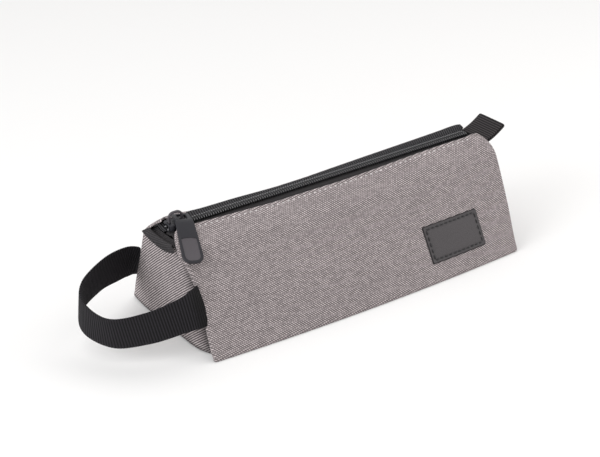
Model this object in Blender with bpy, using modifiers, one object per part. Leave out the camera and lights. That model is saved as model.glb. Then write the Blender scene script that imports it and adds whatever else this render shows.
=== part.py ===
"""Triangle pencil case: a zipped fabric case with a sloping front and back, a webbing carry loop, an end
tab, a sewn label and a coil zip with its slider. Sizes are in metres, and +Z is up.

X runs along the case from the closed end of the zip to the end tab, -Y is the front with the label, and
the origin is the centre of the base on the surface that the case stands on.
"""

from math import atan2, cos, pi, radians, sin, tan

import bmesh
import bpy
import numpy as np
from mathutils import Matrix, Quaternion, Vector

# Shell
BASE_LENGTH = 0.208
BASE_WIDTH = 0.094
SHOULDER_WIDTH = 0.038
SHOULDER_RADIUS = 0.012
TOP_HEIGHT = 0.0622
SHOULDER_DROP = 0.0082
SHOULDER_HEIGHT = TOP_HEIGHT - SHOULDER_DROP
ZIP_OPENING = 0.015
WALL = 0.0018
END_LEAN = 0.003
TOP_CORNER_CUT = 0.0065
LONG_SIDE_BOW = 0.0035
END_BOW = 0.0025
PANEL_FULLNESS = 0.0012
BASE_CORNER_RADIUS = 0.003
BASE_EDGE_ROUND = 0.0005
PANEL_COLUMNS = 17
WALL_COLUMNS = 11
WALL_ROWS = 7

# Clearances
SEAM_GAP = 0.0003
FACE_GAP = 0.0003
PAD_GAP = 0.0004

# Zip
TAPE_THICKNESS = 0.0006
TAPE_SPLIT = 0.003
TAPE_TUCK = 0.009
TAPE_BEND = 0.0004
TAPE_END_GAP = 0.0005
TAPE_LENGTH = BASE_LENGTH - 2 * TAPE_END_GAP
COIL_END_GAP = 0.0007
COIL_LENGTH = TAPE_LENGTH - 2 * COIL_END_GAP
COIL_THICKNESS = 0.0019
COIL_WIDTH = 0.006
COIL_SPINE = 0.0017
TOOTH_PITCH = 0.0015
TOOTH_REACH = 0.0009
TOOTH_HEAD_LENGTH = 0.0008
TOOTH_HEAD_WIDTH = 0.00075
TOOTH_NECK_WIDTH = 0.0004

# Slider
SLIDER_SETBACK = 0.0065
SLIDER_REST_X = SLIDER_SETBACK - COIL_LENGTH / 2
SLIDER_LENGTH = 0.0115
SLIDER_NOSE_WIDTH = 0.0096
SLIDER_TAIL_WIDTH = 0.0084
SLIDER_NOSE_DENT = 0.0007
SLIDER_NOSE_ROUND = 0.0018
SLIDER_TAIL_ROUND = 0.0012
PLATE_THICKNESS = 0.0009
PLATE_ROUND = 0.0003
WEDGE_WIDTH = 0.0022
WEDGE_LENGTH = 0.0046
WEDGE_SETBACK = 0.001
CROWN_LENGTH = 0.0092
CROWN_WIDTH = 0.0018
CROWN_LEG = 0.0012
CROWN_TOP = 0.0012
CROWN_CLEARANCE = 0.0047
CROWN_BEND = 0.0036
CROWN_SEAT_DEPTH = 0.0005
CROWN_ROUND = 0.0002

# Pull tab
PULL_LENGTH = 0.035
PULL_EYE_WIDTH = 0.0096
PULL_TIP_WIDTH = 0.0118
PULL_THICKNESS = 0.0013
PULL_BAR = 0.0014
PULL_WINDOW_WIDTH = 0.0052
PULL_WINDOW_LENGTH = 0.0052
PULL_TIP_RADIUS = 0.0045
PULL_EYE_ROUND = 0.0012
PULL_WINDOW_ROUND = 0.0009
PULL_EDGE_ROUND = 0.0003
PULL_RECESS_LENGTH = 0.0142
PULL_RECESS_RIM = 0.0016
PULL_RECESS_DEPTH = 0.0004
PULL_RECESS_ROUND = PULL_TIP_RADIUS - PULL_RECESS_RIM
PULL_RECESS_ARCH = 0.001
PULL_DROOP = radians(2.5)
PULL_BEND_START = 0.0062
PULL_BEND_LENGTH = 0.0036
PULL_LEAN = radians(15)
PULL_SHIFT = 0.0006
PULL_REST_GAP = 0.0007

# End bands, seam bindings and webbing
BAND_THICKNESS = 0.0008
BAND_LAP = 0.0015
BAND_RISE = 0.0036
BAND_LEAN = 0.0015
BAND_FOLD = 0.0008
BAND_MARGIN = 0.0006
BAND_TUCK = 0.0009
BINDING_WIDTH = 0.005
BINDING_THICKNESS = 0.0015
BINDING_CORNER = 0.003
BINDING_EDGE_ROUND = 0.0003
WEBBING_WIDTH = 0.022
WEBBING_THICKNESS = 0.0013
STRAP_SEAT_UP_SEAM = 0.031
STRAP_REACH = 0.0412
STRAP_BELLY = 0.009
STRAP_SWELL = 0.0062
STRAP_SHIFT = 0.0045
STRAP_LIFT = 0.002
STRAP_TILT = 0.004
STRAP_TURN = 1.25
STRAP_LEAN = radians(21)
STRAP_COLUMNS = 37
END_TAB_LENGTH = 0.0164
END_TAB_RISE = radians(27)

# Label
LABEL_WIDTH = 0.0385
LABEL_HEIGHT = 0.022
LABEL_THICKNESS = 0.001
LABEL_CORNER_RADIUS = 0.0012
LABEL_EDGE_ROUND = 0.0002
LABEL_FROM_END = 0.0417
LABEL_CENTRE_X = BASE_LENGTH / 2 - LABEL_FROM_END
LABEL_UP_SLOPE = 0.0115

# Heights that follow from the sizes above
TAPE_TOP = TOP_HEIGHT - WALL
TAPE_BOTTOM = TAPE_TOP - TAPE_THICKNESS
COIL_BOTTOM = TAPE_TOP + FACE_GAP
COIL_TOP = COIL_BOTTOM + COIL_THICKNESS
SLIDER_CEILING = COIL_TOP + FACE_GAP
SLIDER_TOP = SLIDER_CEILING + PLATE_THICKNESS
SLIDER_FLOOR = TAPE_BOTTOM - FACE_GAP
SLIDER_BOTTOM = SLIDER_FLOOR - PLATE_THICKNESS
LEAN_ANGLE = atan2(END_LEAN, SHOULDER_HEIGHT)

GREY_FABRIC = (0.155, 0.132, 0.112, 1.0)
BLACK_FABRIC = (0.012, 0.012, 0.013, 1.0)
BLACK_NYLON = (0.016, 0.016, 0.018, 1.0)
DARK_METAL = (0.045, 0.045, 0.048, 1.0)
LABEL_GREY = (0.052, 0.048, 0.046, 1.0)


def clear_scene():
    """Remove what an empty file starts with."""
    for item in list(bpy.data.objects):
        bpy.data.objects.remove(item, do_unlink=True)


def make_collection(name):
    """Return a new collection linked to the scene."""
    collection = bpy.data.collections.new(name)
    bpy.context.scene.collection.children.link(collection)
    return collection


def make_material(name, colour, roughness, metallic=0.0):
    """Return a plain Principled material."""
    material = bpy.data.materials.new(name)
    material.use_nodes = True
    shader = material.node_tree.nodes["Principled BSDF"]
    shader.inputs["Base Color"].default_value = colour
    shader.inputs["Roughness"].default_value = roughness
    shader.inputs["Metallic"].default_value = metallic
    return material


def shade(item, degrees=35.0):
    """Smooth the shading, keeping edges sharper than the angle."""
    item.data.shade_smooth()
    item.data.set_sharp_from_angle(angle=radians(degrees))


def add_solidify(item, thickness, offset):
    """Give an open surface its thickness: offset -1 grows inwards, 0 both ways, 1 outwards."""
    modifier = item.modifiers.new("thickness", "SOLIDIFY")
    modifier.thickness = thickness
    modifier.offset = offset
    modifier.use_even_offset = True
    return modifier


def surface_from_grid(name, points, collection, flip=False):
    """Return an object whose quads join a grid of points, rows by columns by 3."""
    rows, columns = points.shape[:2]
    index = np.arange(rows * columns).reshape(rows, columns)
    quads = np.stack([index[:-1, :-1], index[:-1, 1:], index[1:, 1:], index[1:, :-1]], axis=-1)
    quads = quads.reshape(-1, 4)
    if flip:
        quads = quads[:, ::-1]
    mesh = bpy.data.meshes.new(name)
    mesh.from_pydata(points.reshape(-1, 3).tolist(), [], quads.tolist())
    item = bpy.data.objects.new(name, mesh)
    collection.objects.link(item)
    return item


def solid_from_outlines(name, outlines, half_depth, collection, edge_round=0.0):
    """Return a flat solid whose outline is the first list of points and whose holes are the others.

    The outline keeps its size where its edges are rounded, and the solid is centred on its own XY plane.
    """
    curve = bpy.data.curves.new(name, "CURVE")
    curve.dimensions = "2D"
    curve.fill_mode = "BOTH"
    curve.extrude = half_depth - edge_round
    curve.bevel_depth = edge_round
    curve.offset = -edge_round
    curve.bevel_resolution = 0
    for outline in outlines:
        spline = curve.splines.new("POLY")
        spline.points.add(len(outline) - 1)
        for point, (across, along) in zip(spline.points, outline):
            point.co = (across, along, 0.0, 1.0)
        spline.use_cyclic_u = True
    guide = bpy.data.objects.new(name + "_outline", curve)
    bpy.context.scene.collection.objects.link(guide)
    bpy.context.view_layer.update()
    evaluated = guide.evaluated_get(bpy.context.evaluated_depsgraph_get())
    mesh = bpy.data.meshes.new_from_object(evaluated)
    bpy.data.objects.remove(guide, do_unlink=True)
    work = bmesh.new()
    work.from_mesh(mesh)
    bmesh.ops.remove_doubles(work, verts=work.verts, dist=0.000002)
    bmesh.ops.recalc_face_normals(work, faces=work.faces)
    work.to_mesh(mesh)
    work.free()
    item = bpy.data.objects.new(name, mesh)
    collection.objects.link(item)
    return item


def box_solid(name, size, collection):
    """Return a box of the size, centred on its own origin."""
    mesh = bpy.data.meshes.new(name)
    work = bmesh.new()
    bmesh.ops.create_cube(work, size=1.0)
    bmesh.ops.scale(work, verts=work.verts, vec=size)
    work.to_mesh(mesh)
    work.free()
    item = bpy.data.objects.new(name, mesh)
    collection.objects.link(item)
    return item


def hide_cutter(item):
    """Keep a cutter out of the finished object."""
    item.hide_render = True
    item.display_type = "WIRE"


def cut(item, cutter, name):
    """Take the cutter's shape out of the item."""
    modifier = item.modifiers.new(name, "BOOLEAN")
    modifier.operation = "DIFFERENCE"
    modifier.solver = "EXACT"
    modifier.object = cutter


def freeze(item):
    """Replace the item's mesh by its evaluated mesh and drop its modifiers."""
    bpy.context.view_layer.update()
    evaluated = item.evaluated_get(bpy.context.evaluated_depsgraph_get())
    mesh = bpy.data.meshes.new_from_object(evaluated)
    item.modifiers.clear()
    item.data = mesh


def arc(centre, radius, start, end, steps):
    """Return points on an arc from the start angle to the end angle."""
    angles = [start + (end - start) * step / steps for step in range(steps + 1)]
    return [(centre[0] + radius * cos(angle), centre[1] + radius * sin(angle)) for angle in angles]


def side_profile():
    """Return half widths and heights up the outside of a long panel, from the base to the zip.

    A straight lower slope meets a flatter upper slope in a rounded shoulder.
    """
    foot = np.array([BASE_WIDTH / 2, 0.0])
    shoulder = np.array([SHOULDER_WIDTH / 2, SHOULDER_HEIGHT])
    top = np.array([ZIP_OPENING / 2, TOP_HEIGHT])
    lower = (shoulder - foot) / np.linalg.norm(shoulder - foot)
    upper = (top - shoulder) / np.linalg.norm(top - shoulder)
    turn = np.arccos(lower @ upper)
    setback = SHOULDER_RADIUS * tan(turn / 2)
    start = shoulder - lower * setback
    inward = np.array([-lower[1], lower[0]])
    centre = start + inward * SHOULDER_RADIUS
    angles = np.linspace(0.0, turn, 5)
    bend = [
        centre - inward * SHOULDER_RADIUS * cos(angle) + lower * SHOULDER_RADIUS * sin(angle)
        for angle in angles
    ]
    straight = [foot + (start - foot) * share for share in np.linspace(0.0, 1.0, 7)[:-1]]
    return np.array(straight + bend + [top])


PROFILE = side_profile()
PROFILE_STEPS = np.linalg.norm(np.diff(PROFILE, axis=0), axis=1)
PROFILE_LENGTHS = np.concatenate([[0.0], np.cumsum(PROFILE_STEPS)])
LOWER_SLOPE = atan2(SHOULDER_HEIGHT, (BASE_WIDTH - SHOULDER_WIDTH) / 2)
UPPER_SLOPE = atan2(TOP_HEIGHT - SHOULDER_HEIGHT, (SHOULDER_WIDTH - ZIP_OPENING) / 2)
PULL_BEND = UPPER_SLOPE - PULL_DROOP
PANEL_START = (WALL + SEAM_GAP + WALL * cos(LOWER_SLOPE)) / sin(LOWER_SLOPE)


def profile_at(distance):
    """Return half width, height and the outward normal at a distance up the profile."""
    half_width = np.interp(distance, PROFILE_LENGTHS, PROFILE[:, 0])
    height = np.interp(distance, PROFILE_LENGTHS, PROFILE[:, 1])
    step = 0.0005
    ahead = min(distance + step, PROFILE_LENGTHS[-1])
    behind = max(ahead - 2 * step, 0.0)
    run = np.diff(np.interp([behind, ahead], PROFILE_LENGTHS, PROFILE[:, 0]))[0]
    rise = np.diff(np.interp([behind, ahead], PROFILE_LENGTHS, PROFILE[:, 1]))[0]
    length = (run * run + rise * rise) ** 0.5
    return half_width, height, rise / length, -run / length


def half_width_inside(height, depth):
    """Return the half width of the space at a height, a depth in from the long panels' outer face."""
    samples = 120
    inner = []
    for distance in np.linspace(0.0, PROFILE_LENGTHS[-1], samples):
        half_width, level, outward, upward = profile_at(distance)
        inner.append((level - depth * upward, half_width - depth * outward))
    inner = np.array(sorted(inner))
    return float(np.interp(height, inner[:, 0], inner[:, 1]))


def end_x(height):
    """Return how far the shell reaches along X at a height."""
    lean = END_LEAN * min(height / SHOULDER_HEIGHT, 1.0)
    above = max(0.0, (height - SHOULDER_HEIGHT) / (TOP_HEIGHT - SHOULDER_HEIGHT))
    return BASE_LENGTH / 2 + lean - TOP_CORNER_CUT * above


def panel_point(side, x, distance, lift=0.0):
    """Return a point on a long panel, side -1 in front and 1 behind, lifted off its outer face."""
    half_width, height, outward, upward = profile_at(distance)
    along = x / end_x(height)
    fade = 1.0 - along * along
    bow = LONG_SIDE_BOW * fade * max(0.0, 1.0 - height / SHOULDER_HEIGHT)
    fullness = PANEL_FULLNESS * fade * sin(pi * min(height / SHOULDER_HEIGHT, 1.0))
    out = half_width + bow + fullness + lift * outward
    return (x, side * out, height + lift * upward)


def build_long_panel(name, side, collection, material):
    """Make the front or back panel: one shaped sheet from the base seam to the zip."""
    closest_row = 0.002
    distances = [PANEL_START] + [d for d in PROFILE_LENGTHS if d > PANEL_START + closest_row]
    shares = np.linspace(-1.0, 1.0, PANEL_COLUMNS)
    rows = []
    for distance in distances:
        reach = end_x(profile_at(distance)[1])
        rows.append([panel_point(side, share * reach, distance) for share in shares])
    item = surface_from_grid(name, np.array(rows), collection, flip=side > 0)
    add_solidify(item, WALL, -1.0)
    shade(item)
    item.data.materials.append(material)
    return item


def build_base_panel(collection, material):
    """Make the base: a flat sheet whose four edges bow out a little."""
    half_length = BASE_LENGTH / 2
    half_width = BASE_WIDTH / 2
    radius = BASE_CORNER_RADIUS
    corners = [(1, 1, 0.0), (-1, 1, pi / 2), (-1, -1, pi), (1, -1, 3 * pi / 2)]
    plain = []
    for sign_x, sign_y, start in corners:
        centre = (sign_x * (half_length - radius), sign_y * (half_width - radius))
        plain += arc(centre, radius, start, start + pi / 2, 3)
        flat_x = half_length - radius
        flat_y = half_width - radius
        if sign_x == sign_y:
            plain += [(-sign_x * x, sign_y * half_width) for x in np.linspace(-flat_x, flat_x, 15)[1:-1]]
        else:
            plain += [(sign_x * half_length, -sign_y * y) for y in np.linspace(-flat_y, flat_y, 9)[1:-1]]
    outline = []
    for x, y in plain:
        long_bow = LONG_SIDE_BOW * (1 - (x / half_length) ** 2) * y / half_width
        end_bow = END_BOW * (1 - (y / half_width) ** 2) * x / half_length
        outline.append((x + end_bow, y + long_bow))
    item = solid_from_outlines("base_panel", [outline], WALL / 2, collection, BASE_EDGE_ROUND)
    item.location = (0.0, 0.0, WALL / 2)
    shade(item)
    item.data.materials.append(material)
    return item


def build_end_wall(name, side, collection, material):
    """Make an end wall between the long panels, bowed out at its foot, side -1 left and 1 right."""
    bottom = WALL + SEAM_GAP
    top = SHOULDER_HEIGHT - SEAM_GAP
    rows = []
    for height in np.linspace(bottom, top, WALL_ROWS):
        half_width = half_width_inside(height, WALL + SEAM_GAP)
        row = []
        for share in np.linspace(-1.0, 1.0, WALL_COLUMNS):
            bow = END_BOW * (1 - share * share) * (1 - height / SHOULDER_HEIGHT)
            row.append((side * (end_x(height) + bow), share * half_width, height))
        rows.append(row)
    item = surface_from_grid(name, np.array(rows), collection, flip=side < 0)
    add_solidify(item, WALL, -1.0)
    shade(item)
    item.data.materials.append(material)
    return item


def band_knee():
    """Return how far out and how high an end band begins to fold in."""
    return end_x(SHOULDER_HEIGHT) + FACE_GAP + BAND_THICKNESS, SHOULDER_HEIGHT + BAND_RISE / 2


def build_zip_end_band(name, side, collection, material):
    """Make the folded band that closes the shell between an end wall and the end of the zip tapes.

    It rises outside the wall to its knee, leans in to a crease between the panels' ends, and goes under
    the ends of the tapes.
    """
    outside, knee = band_knee()
    crease = SHOULDER_HEIGHT + BAND_RISE
    tape_end = TAPE_LENGTH / 2
    under_tape = TAPE_BOTTOM - FACE_GAP
    beside = half_width_inside(crease, WALL + FACE_GAP)
    tape_flat = half_width_inside(TAPE_TOP, WALL + TAPE_THICKNESS)
    foot = SHOULDER_HEIGHT - BAND_LAP
    rows = [
        (outside, foot, half_width_inside(foot, 0.0) - FACE_GAP),
        (outside, knee, half_width_inside(knee, 0.0)),
        (outside - BAND_LEAN, crease, half_width_inside(crease, 0.0)),
        (outside - 2 * BAND_LEAN, crease + BAND_FOLD, beside - BAND_MARGIN),
        (tape_end + BAND_THICKNESS / 2, under_tape - BAND_MARGIN, tape_flat + 2 * BAND_MARGIN),
        (tape_end - BAND_TUCK, under_tape, tape_flat - BAND_MARGIN),
    ]
    points = []
    for reach, height, half_width in rows:
        shares = (-1.0, -0.5, 0.0, 0.5, 1.0)
        points.append([(side * reach, share * half_width, height) for share in shares])
    item = surface_from_grid(name, np.array(points), collection, flip=side < 0)
    add_solidify(item, BAND_THICKNESS, -1.0)
    shade(item, 50.0)
    item.data.materials.append(material)
    return item


def build_zip_tape(name, side, collection, material):
    """Make one zip tape: flat beside the coil, then tucked down behind its panel."""
    middle = TAPE_TOP - TAPE_THICKNESS / 2
    depth = WALL + FACE_GAP + TAPE_THICKNESS / 2
    down = (cos(UPPER_SLOPE), -sin(UPPER_SLOPE))
    start_width = ZIP_OPENING / 2 - depth * sin(UPPER_SLOPE)
    start_height = TOP_HEIGHT - depth * cos(UPPER_SLOPE)
    to_flat = (start_height - middle) / sin(UPPER_SLOPE)
    bend = start_width + to_flat * down[0]
    path = [(TAPE_SPLIT / 2, middle), ((TAPE_SPLIT / 2 + bend) / 2, middle), (bend - TAPE_BEND, middle)]
    path.append((bend + TAPE_BEND * down[0], middle + TAPE_BEND * down[1]))
    path.append((bend + TAPE_TUCK * down[0], middle + TAPE_TUCK * down[1]))
    points = [
        [(x, side * width, height) for x in np.linspace(-TAPE_LENGTH / 2, TAPE_LENGTH / 2, 9)]
        for width, height in path
    ]
    item = surface_from_grid(name, np.array(points), collection, flip=side < 0)
    add_solidify(item, TAPE_THICKNESS, 0.0)
    shade(item)
    item.data.materials.append(material)
    return item


def coil_outline(side):
    """Return the outline of one coil from above: a spine with hooked teeth that reach past the middle.

    The teeth of the two sides are half a pitch apart. Beside the slider's wedge the teeth are parted, so
    they start at the wedge's tail.
    """
    half_length = COIL_LENGTH / 2
    outer = COIL_WIDTH / 2
    inner = outer - COIL_SPINE
    hook = TOOTH_REACH - TOOTH_HEAD_LENGTH
    shift = 0.0 if side < 0 else TOOTH_PITCH / 2
    first = SLIDER_REST_X - SLIDER_LENGTH / 2 + WEDGE_LENGTH + 3 * TOOTH_PITCH / 2
    count = int((half_length - TOOTH_PITCH - first - shift) / TOOTH_PITCH) + 1
    points = [(-half_length, -outer), (half_length, -outer), (half_length, -inner)]
    for number in reversed(range(count)):
        centre = first + shift + number * TOOTH_PITCH
        neck = TOOTH_NECK_WIDTH / 2
        head = TOOTH_HEAD_WIDTH / 2
        points += [(centre + neck, -inner), (centre + neck, hook), (centre + head, hook)]
        points += [(centre + head, TOOTH_REACH), (centre - head, TOOTH_REACH)]
        points += [(centre - head, hook), (centre - neck, hook), (centre - neck, -inner)]
    points.append((-half_length, -inner))
    return [(x, -side * y) for x, y in points]


def build_zip_coil(name, side, collection, material):
    """Make one side of the zip's coil, sewn on top of its tape."""
    item = solid_from_outlines(name, [coil_outline(side)], COIL_THICKNESS / 2, collection)
    item.location = (0.0, 0.0, (COIL_BOTTOM + COIL_TOP) / 2)
    item.data.materials.append(material)
    return item


def slider_outline():
    """Return the slider's outline from above, about its own centre, with the wide nose at -X."""
    nose = -SLIDER_LENGTH / 2
    tail = SLIDER_LENGTH / 2
    wide = SLIDER_NOSE_WIDTH / 2
    slim = SLIDER_TAIL_WIDTH / 2
    half = [
        (nose + SLIDER_NOSE_DENT, 0.0),
        (nose, 0.35 * wide),
        (nose + 0.1 * SLIDER_NOSE_ROUND, 0.7 * wide),
        (nose + 0.45 * SLIDER_NOSE_ROUND, 0.9 * wide),
        (nose + SLIDER_NOSE_ROUND, wide),
        (nose + 0.45 * SLIDER_LENGTH, 0.97 * wide),
        (tail - SLIDER_TAIL_ROUND, slim),
        (tail - 0.25 * SLIDER_TAIL_ROUND, 0.9 * slim),
        (tail, 0.72 * slim),
    ]
    return half + [(x, -y) for x, y in reversed(half[1:])]


def wedge_outline():
    """Return the wedge that parts the coils, pointed towards the tail."""
    start = WEDGE_SETBACK - SLIDER_LENGTH / 2
    length = WEDGE_LENGTH - WEDGE_SETBACK
    half = WEDGE_WIDTH / 2
    front = [(start, 0.55 * half), (start + 0.25 * length, half)]
    front += [(start + 0.55 * length, half), (start + length, 0.25 * half)]
    return front + [(x, -y) for x, y in reversed(front)]


def crown_outline():
    """Return the crown's outline from the side: two legs and a rounded bridge, about the slider's top."""
    outer = CROWN_LENGTH / 2
    inner = outer - CROWN_LEG
    foot = FACE_GAP - CROWN_SEAT_DEPTH
    under = CROWN_CLEARANCE
    top = under + CROWN_TOP
    radius = CROWN_BEND
    inner_radius = CROWN_BEND - CROWN_TOP
    points = [(outer, foot)] + arc((outer - radius, top - radius), radius, 0.0, pi / 2, 6)
    points += arc((radius - outer, top - radius), radius, pi / 2, pi, 6) + [(-outer, foot), (-inner, foot)]
    points += arc((inner_radius - inner, under - inner_radius), inner_radius, pi, pi / 2, 5)
    points += arc((inner - inner_radius, under - inner_radius), inner_radius, pi / 2, 0.0, 5)
    points.append((inner, foot))
    return points


def build_slider(collection, cutters, material):
    """Make the slider body with its coil channel, tape slots and wedge, and the crown on top of it."""
    middle = (SLIDER_BOTTOM + SLIDER_TOP) / 2
    body = solid_from_outlines(
        "slider_body", [slider_outline()], (SLIDER_TOP - SLIDER_BOTTOM) / 2, collection, PLATE_ROUND
    )
    body.location = (SLIDER_REST_X, 0.0, middle)
    past = SLIDER_LENGTH
    channel = COIL_WIDTH / 2 + FACE_GAP
    wide = SLIDER_NOSE_WIDTH
    box = [(past, channel), (-past, channel), (-past, -channel), (past, -channel)]
    slot = [(past, wide), (-past, wide), (-past, -wide), (past, -wide)]
    cuts = [
        ("channel_cutter", [box, wedge_outline()], SLIDER_FLOOR, SLIDER_CEILING),
        ("slot_cutter", [slot, wedge_outline()], SLIDER_FLOOR, TAPE_TOP + FACE_GAP),
    ]
    for name, outlines, low, high in cuts:
        cutter = solid_from_outlines(name, outlines, (high - low) / 2, cutters)
        cutter.location = (SLIDER_REST_X, 0.0, (low + high) / 2)
        hide_cutter(cutter)
        cut(body, cutter, name)
    crown = solid_from_outlines("slider_crown", [crown_outline()], CROWN_WIDTH / 2, collection, CROWN_ROUND)
    crown.location = (SLIDER_REST_X, 0.0, SLIDER_TOP)
    crown.rotation_euler = (pi / 2, 0.0, 0.0)
    for number, sign in enumerate((-1, 1)):
        size = (CROWN_LEG + 2 * FACE_GAP, CROWN_WIDTH + 2 * FACE_GAP, 2 * CROWN_SEAT_DEPTH)
        seat = box_solid("crown_seat_cutter_" + str(number), size, cutters)
        leg_centre = sign * (CROWN_LENGTH - CROWN_LEG) / 2
        seat.location = (SLIDER_REST_X + leg_centre, 0.0, SLIDER_TOP)
        hide_cutter(seat)
        cut(body, seat, seat.name)
    for item in (body, crown):
        shade(item)
        item.data.materials.append(material)
    return body, crown


def pull_outline():
    """Return the pull tab's outline, laid flat along -Y with its cross bar's centre at the origin."""
    eye = PULL_EYE_WIDTH / 2
    tip = PULL_TIP_WIDTH / 2
    start = PULL_BAR / 2
    end = start - PULL_LENGTH
    radius = PULL_TIP_RADIUS
    right = arc((eye - PULL_EYE_ROUND, start - PULL_EYE_ROUND), PULL_EYE_ROUND, pi / 2, 0.0, 3)
    right += arc((tip - radius, end + radius), radius, 0.0, -pi / 2, 4)
    return right + [(-x, y) for x, y in reversed(right)]


def pull_window():
    """Return the window that goes round the crown's leg."""
    half = PULL_WINDOW_WIDTH / 2
    start = -PULL_BAR / 2
    end = start - PULL_WINDOW_LENGTH
    radius = PULL_WINDOW_ROUND
    right = arc((half - radius, start - radius), radius, pi / 2, 0.0, 3)
    right += arc((half - radius, end + radius), radius, 0.0, -pi / 2, 3)
    return right + [(-x, y) for x, y in reversed(right)]


def pull_recess():
    """Return the outline of the thumb recess, arched at its upper end."""
    half = PULL_TIP_WIDTH / 2 - PULL_RECESS_RIM
    end = PULL_BAR / 2 - PULL_LENGTH + PULL_RECESS_RIM
    crest = end + PULL_RECESS_LENGTH
    springing = crest - PULL_RECESS_ARCH
    radius = PULL_RECESS_ROUND
    right = arc((half - radius, end + radius), radius, -pi / 2, 0.0, 3)
    for angle in np.linspace(0.0, pi / 2, 6)[:-1]:
        right.append((half * cos(angle), springing + PULL_RECESS_ARCH * sin(angle)))
    return right + [(0.0, crest)] + [(-x, y) for x, y in reversed(right)]


def bend_point(along, level):
    """Return the place of a point of the flat pull tab after its body is bent down past the eye.

    along is the distance from the cross bar, and level the height in the flat tab. The tab is flat, then
    follows an arc, then is flat again at the bend angle.
    """
    past = along - PULL_BEND_START
    if past <= 0.0:
        return along, level
    radius = PULL_BEND_LENGTH / PULL_BEND
    angle = min(past / PULL_BEND_LENGTH, 1.0) * PULL_BEND
    run = PULL_BEND_START + radius * sin(angle) + level * sin(angle)
    drop = radius * (1 - cos(angle)) - level * cos(angle)
    beyond = max(0.0, past - PULL_BEND_LENGTH)
    return run + beyond * cos(angle), -drop - beyond * sin(angle)


def crossbar_place():
    """Return the centre of the pull tab's cross bar, close behind the crown's rear leg.

    Its height puts the tab's body a small gap above the upper slope of the front panel, to which the body
    is parallel. The bar is slid to the left along its own length, so the leg is not in its middle.
    """
    corner = CROWN_WIDTH / 2 * cos(PULL_LEAN) + CROWN_LEG / 2 * sin(PULL_LEAN)
    behind = corner + FACE_GAP + PULL_BAR / 2
    leg_x = SLIDER_REST_X + (CROWN_LENGTH - CROWN_LEG) / 2
    below_body = PULL_BEND_START * sin(PULL_BEND) + PULL_BEND_LENGTH / PULL_BEND * (1 - cos(PULL_BEND))
    off_panel = PULL_THICKNESS / 2 + PULL_REST_GAP - below_body
    back = behind * cos(PULL_LEAN)
    rise = (off_panel + (back + ZIP_OPENING / 2) * sin(UPPER_SLOPE)) / cos(UPPER_SLOPE)
    bar_x = leg_x + behind * sin(PULL_LEAN) - PULL_SHIFT * cos(PULL_LEAN)
    aside = PULL_SHIFT * sin(PULL_LEAN)
    return (bar_x, back + aside * cos(UPPER_SLOPE), TOP_HEIGHT + rise + aside * sin(UPPER_SLOPE))


def build_pull_tab(collection, cutters, material):
    """Make the pull tab, hooked round the crown's rear leg and lying over the edge of the front panel."""
    item = solid_from_outlines(
        "pull_tab", [pull_outline(), pull_window()], PULL_THICKNESS / 2, collection, PULL_EDGE_ROUND
    )
    recess = solid_from_outlines("recess_cutter", [pull_recess()], PULL_RECESS_DEPTH, cutters)
    recess.location = (0.0, 0.0, PULL_THICKNESS / 2)
    hide_cutter(recess)
    cut(item, recess, "thumb_recess")
    freeze(item)
    work = bmesh.new()
    work.from_mesh(item.data)
    for along in np.linspace(PULL_BEND_START, PULL_BEND_START + PULL_BEND_LENGTH, 7):
        geometry = work.verts[:] + work.edges[:] + work.faces[:]
        bmesh.ops.bisect_plane(work, geom=geometry, plane_co=(0.0, -along, 0.0), plane_no=(0.0, 1.0, 0.0))
    for vertex in work.verts:
        run, level = bend_point(-vertex.co.y, vertex.co.z)
        vertex.co.y = -run
        vertex.co.z = level
    bmesh.ops.triangulate(work, faces=work.faces)
    work.to_mesh(item.data)
    work.free()
    item.matrix_world = (
        Matrix.Translation(crossbar_place())
        @ Matrix.Rotation(UPPER_SLOPE, 4, "X")
        @ Matrix.Rotation(-PULL_LEAN, 4, "Z")
        @ Matrix.Rotation(-PULL_BEND, 4, "X")
    )
    shade(item)
    item.data.materials.append(material)
    return item


def build_seam_binding(name, side, collection, material):
    """Make the tape that binds the end seam inside, up the front slope, the base and the back slope."""
    near = WALL + FACE_GAP
    far = near + BINDING_THICKNESS
    top = SHOULDER_HEIGHT - SHOULDER_RADIUS
    floor = WALL + FACE_GAP + BINDING_WIDTH / 2 * sin(LEAN_ANGLE)
    edges = []
    for depth, low in ((near, floor), (far, floor + BINDING_THICKNESS)):
        turn_height = low + BINDING_CORNER
        turn_width = half_width_inside(turn_height, depth)
        edge = [(half_width_inside(top, depth), top), (turn_width, turn_height)]
        edge.append((turn_width - 0.5 * BINDING_CORNER, low + 0.2 * BINDING_CORNER))
        edge.append((turn_width - 1.5 * BINDING_CORNER, low))
        edges.append(edge)
    outer, inner = edges
    outline = outer + [(-y, z) for y, z in reversed(outer)] + [(-y, z) for y, z in inner]
    outline += list(reversed(inner))
    item = solid_from_outlines(name, [outline], BINDING_WIDTH / 2, collection, BINDING_EDGE_ROUND)
    reach = BASE_LENGTH / 2 - WALL - FACE_GAP - BINDING_WIDTH / 2
    turn = Matrix.Rotation(side * LEAN_ANGLE, 4, "Y") @ Matrix(
        ((0.0, 0.0, 1.0, 0.0), (1.0, 0.0, 0.0, 0.0), (0.0, 1.0, 0.0, 0.0), (0.0, 0.0, 0.0, 1.0))
    )
    item.matrix_world = Matrix.Translation((side * reach, 0.0, 0.0)) @ turn
    shade(item)
    item.data.materials.append(material)
    return item


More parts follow.
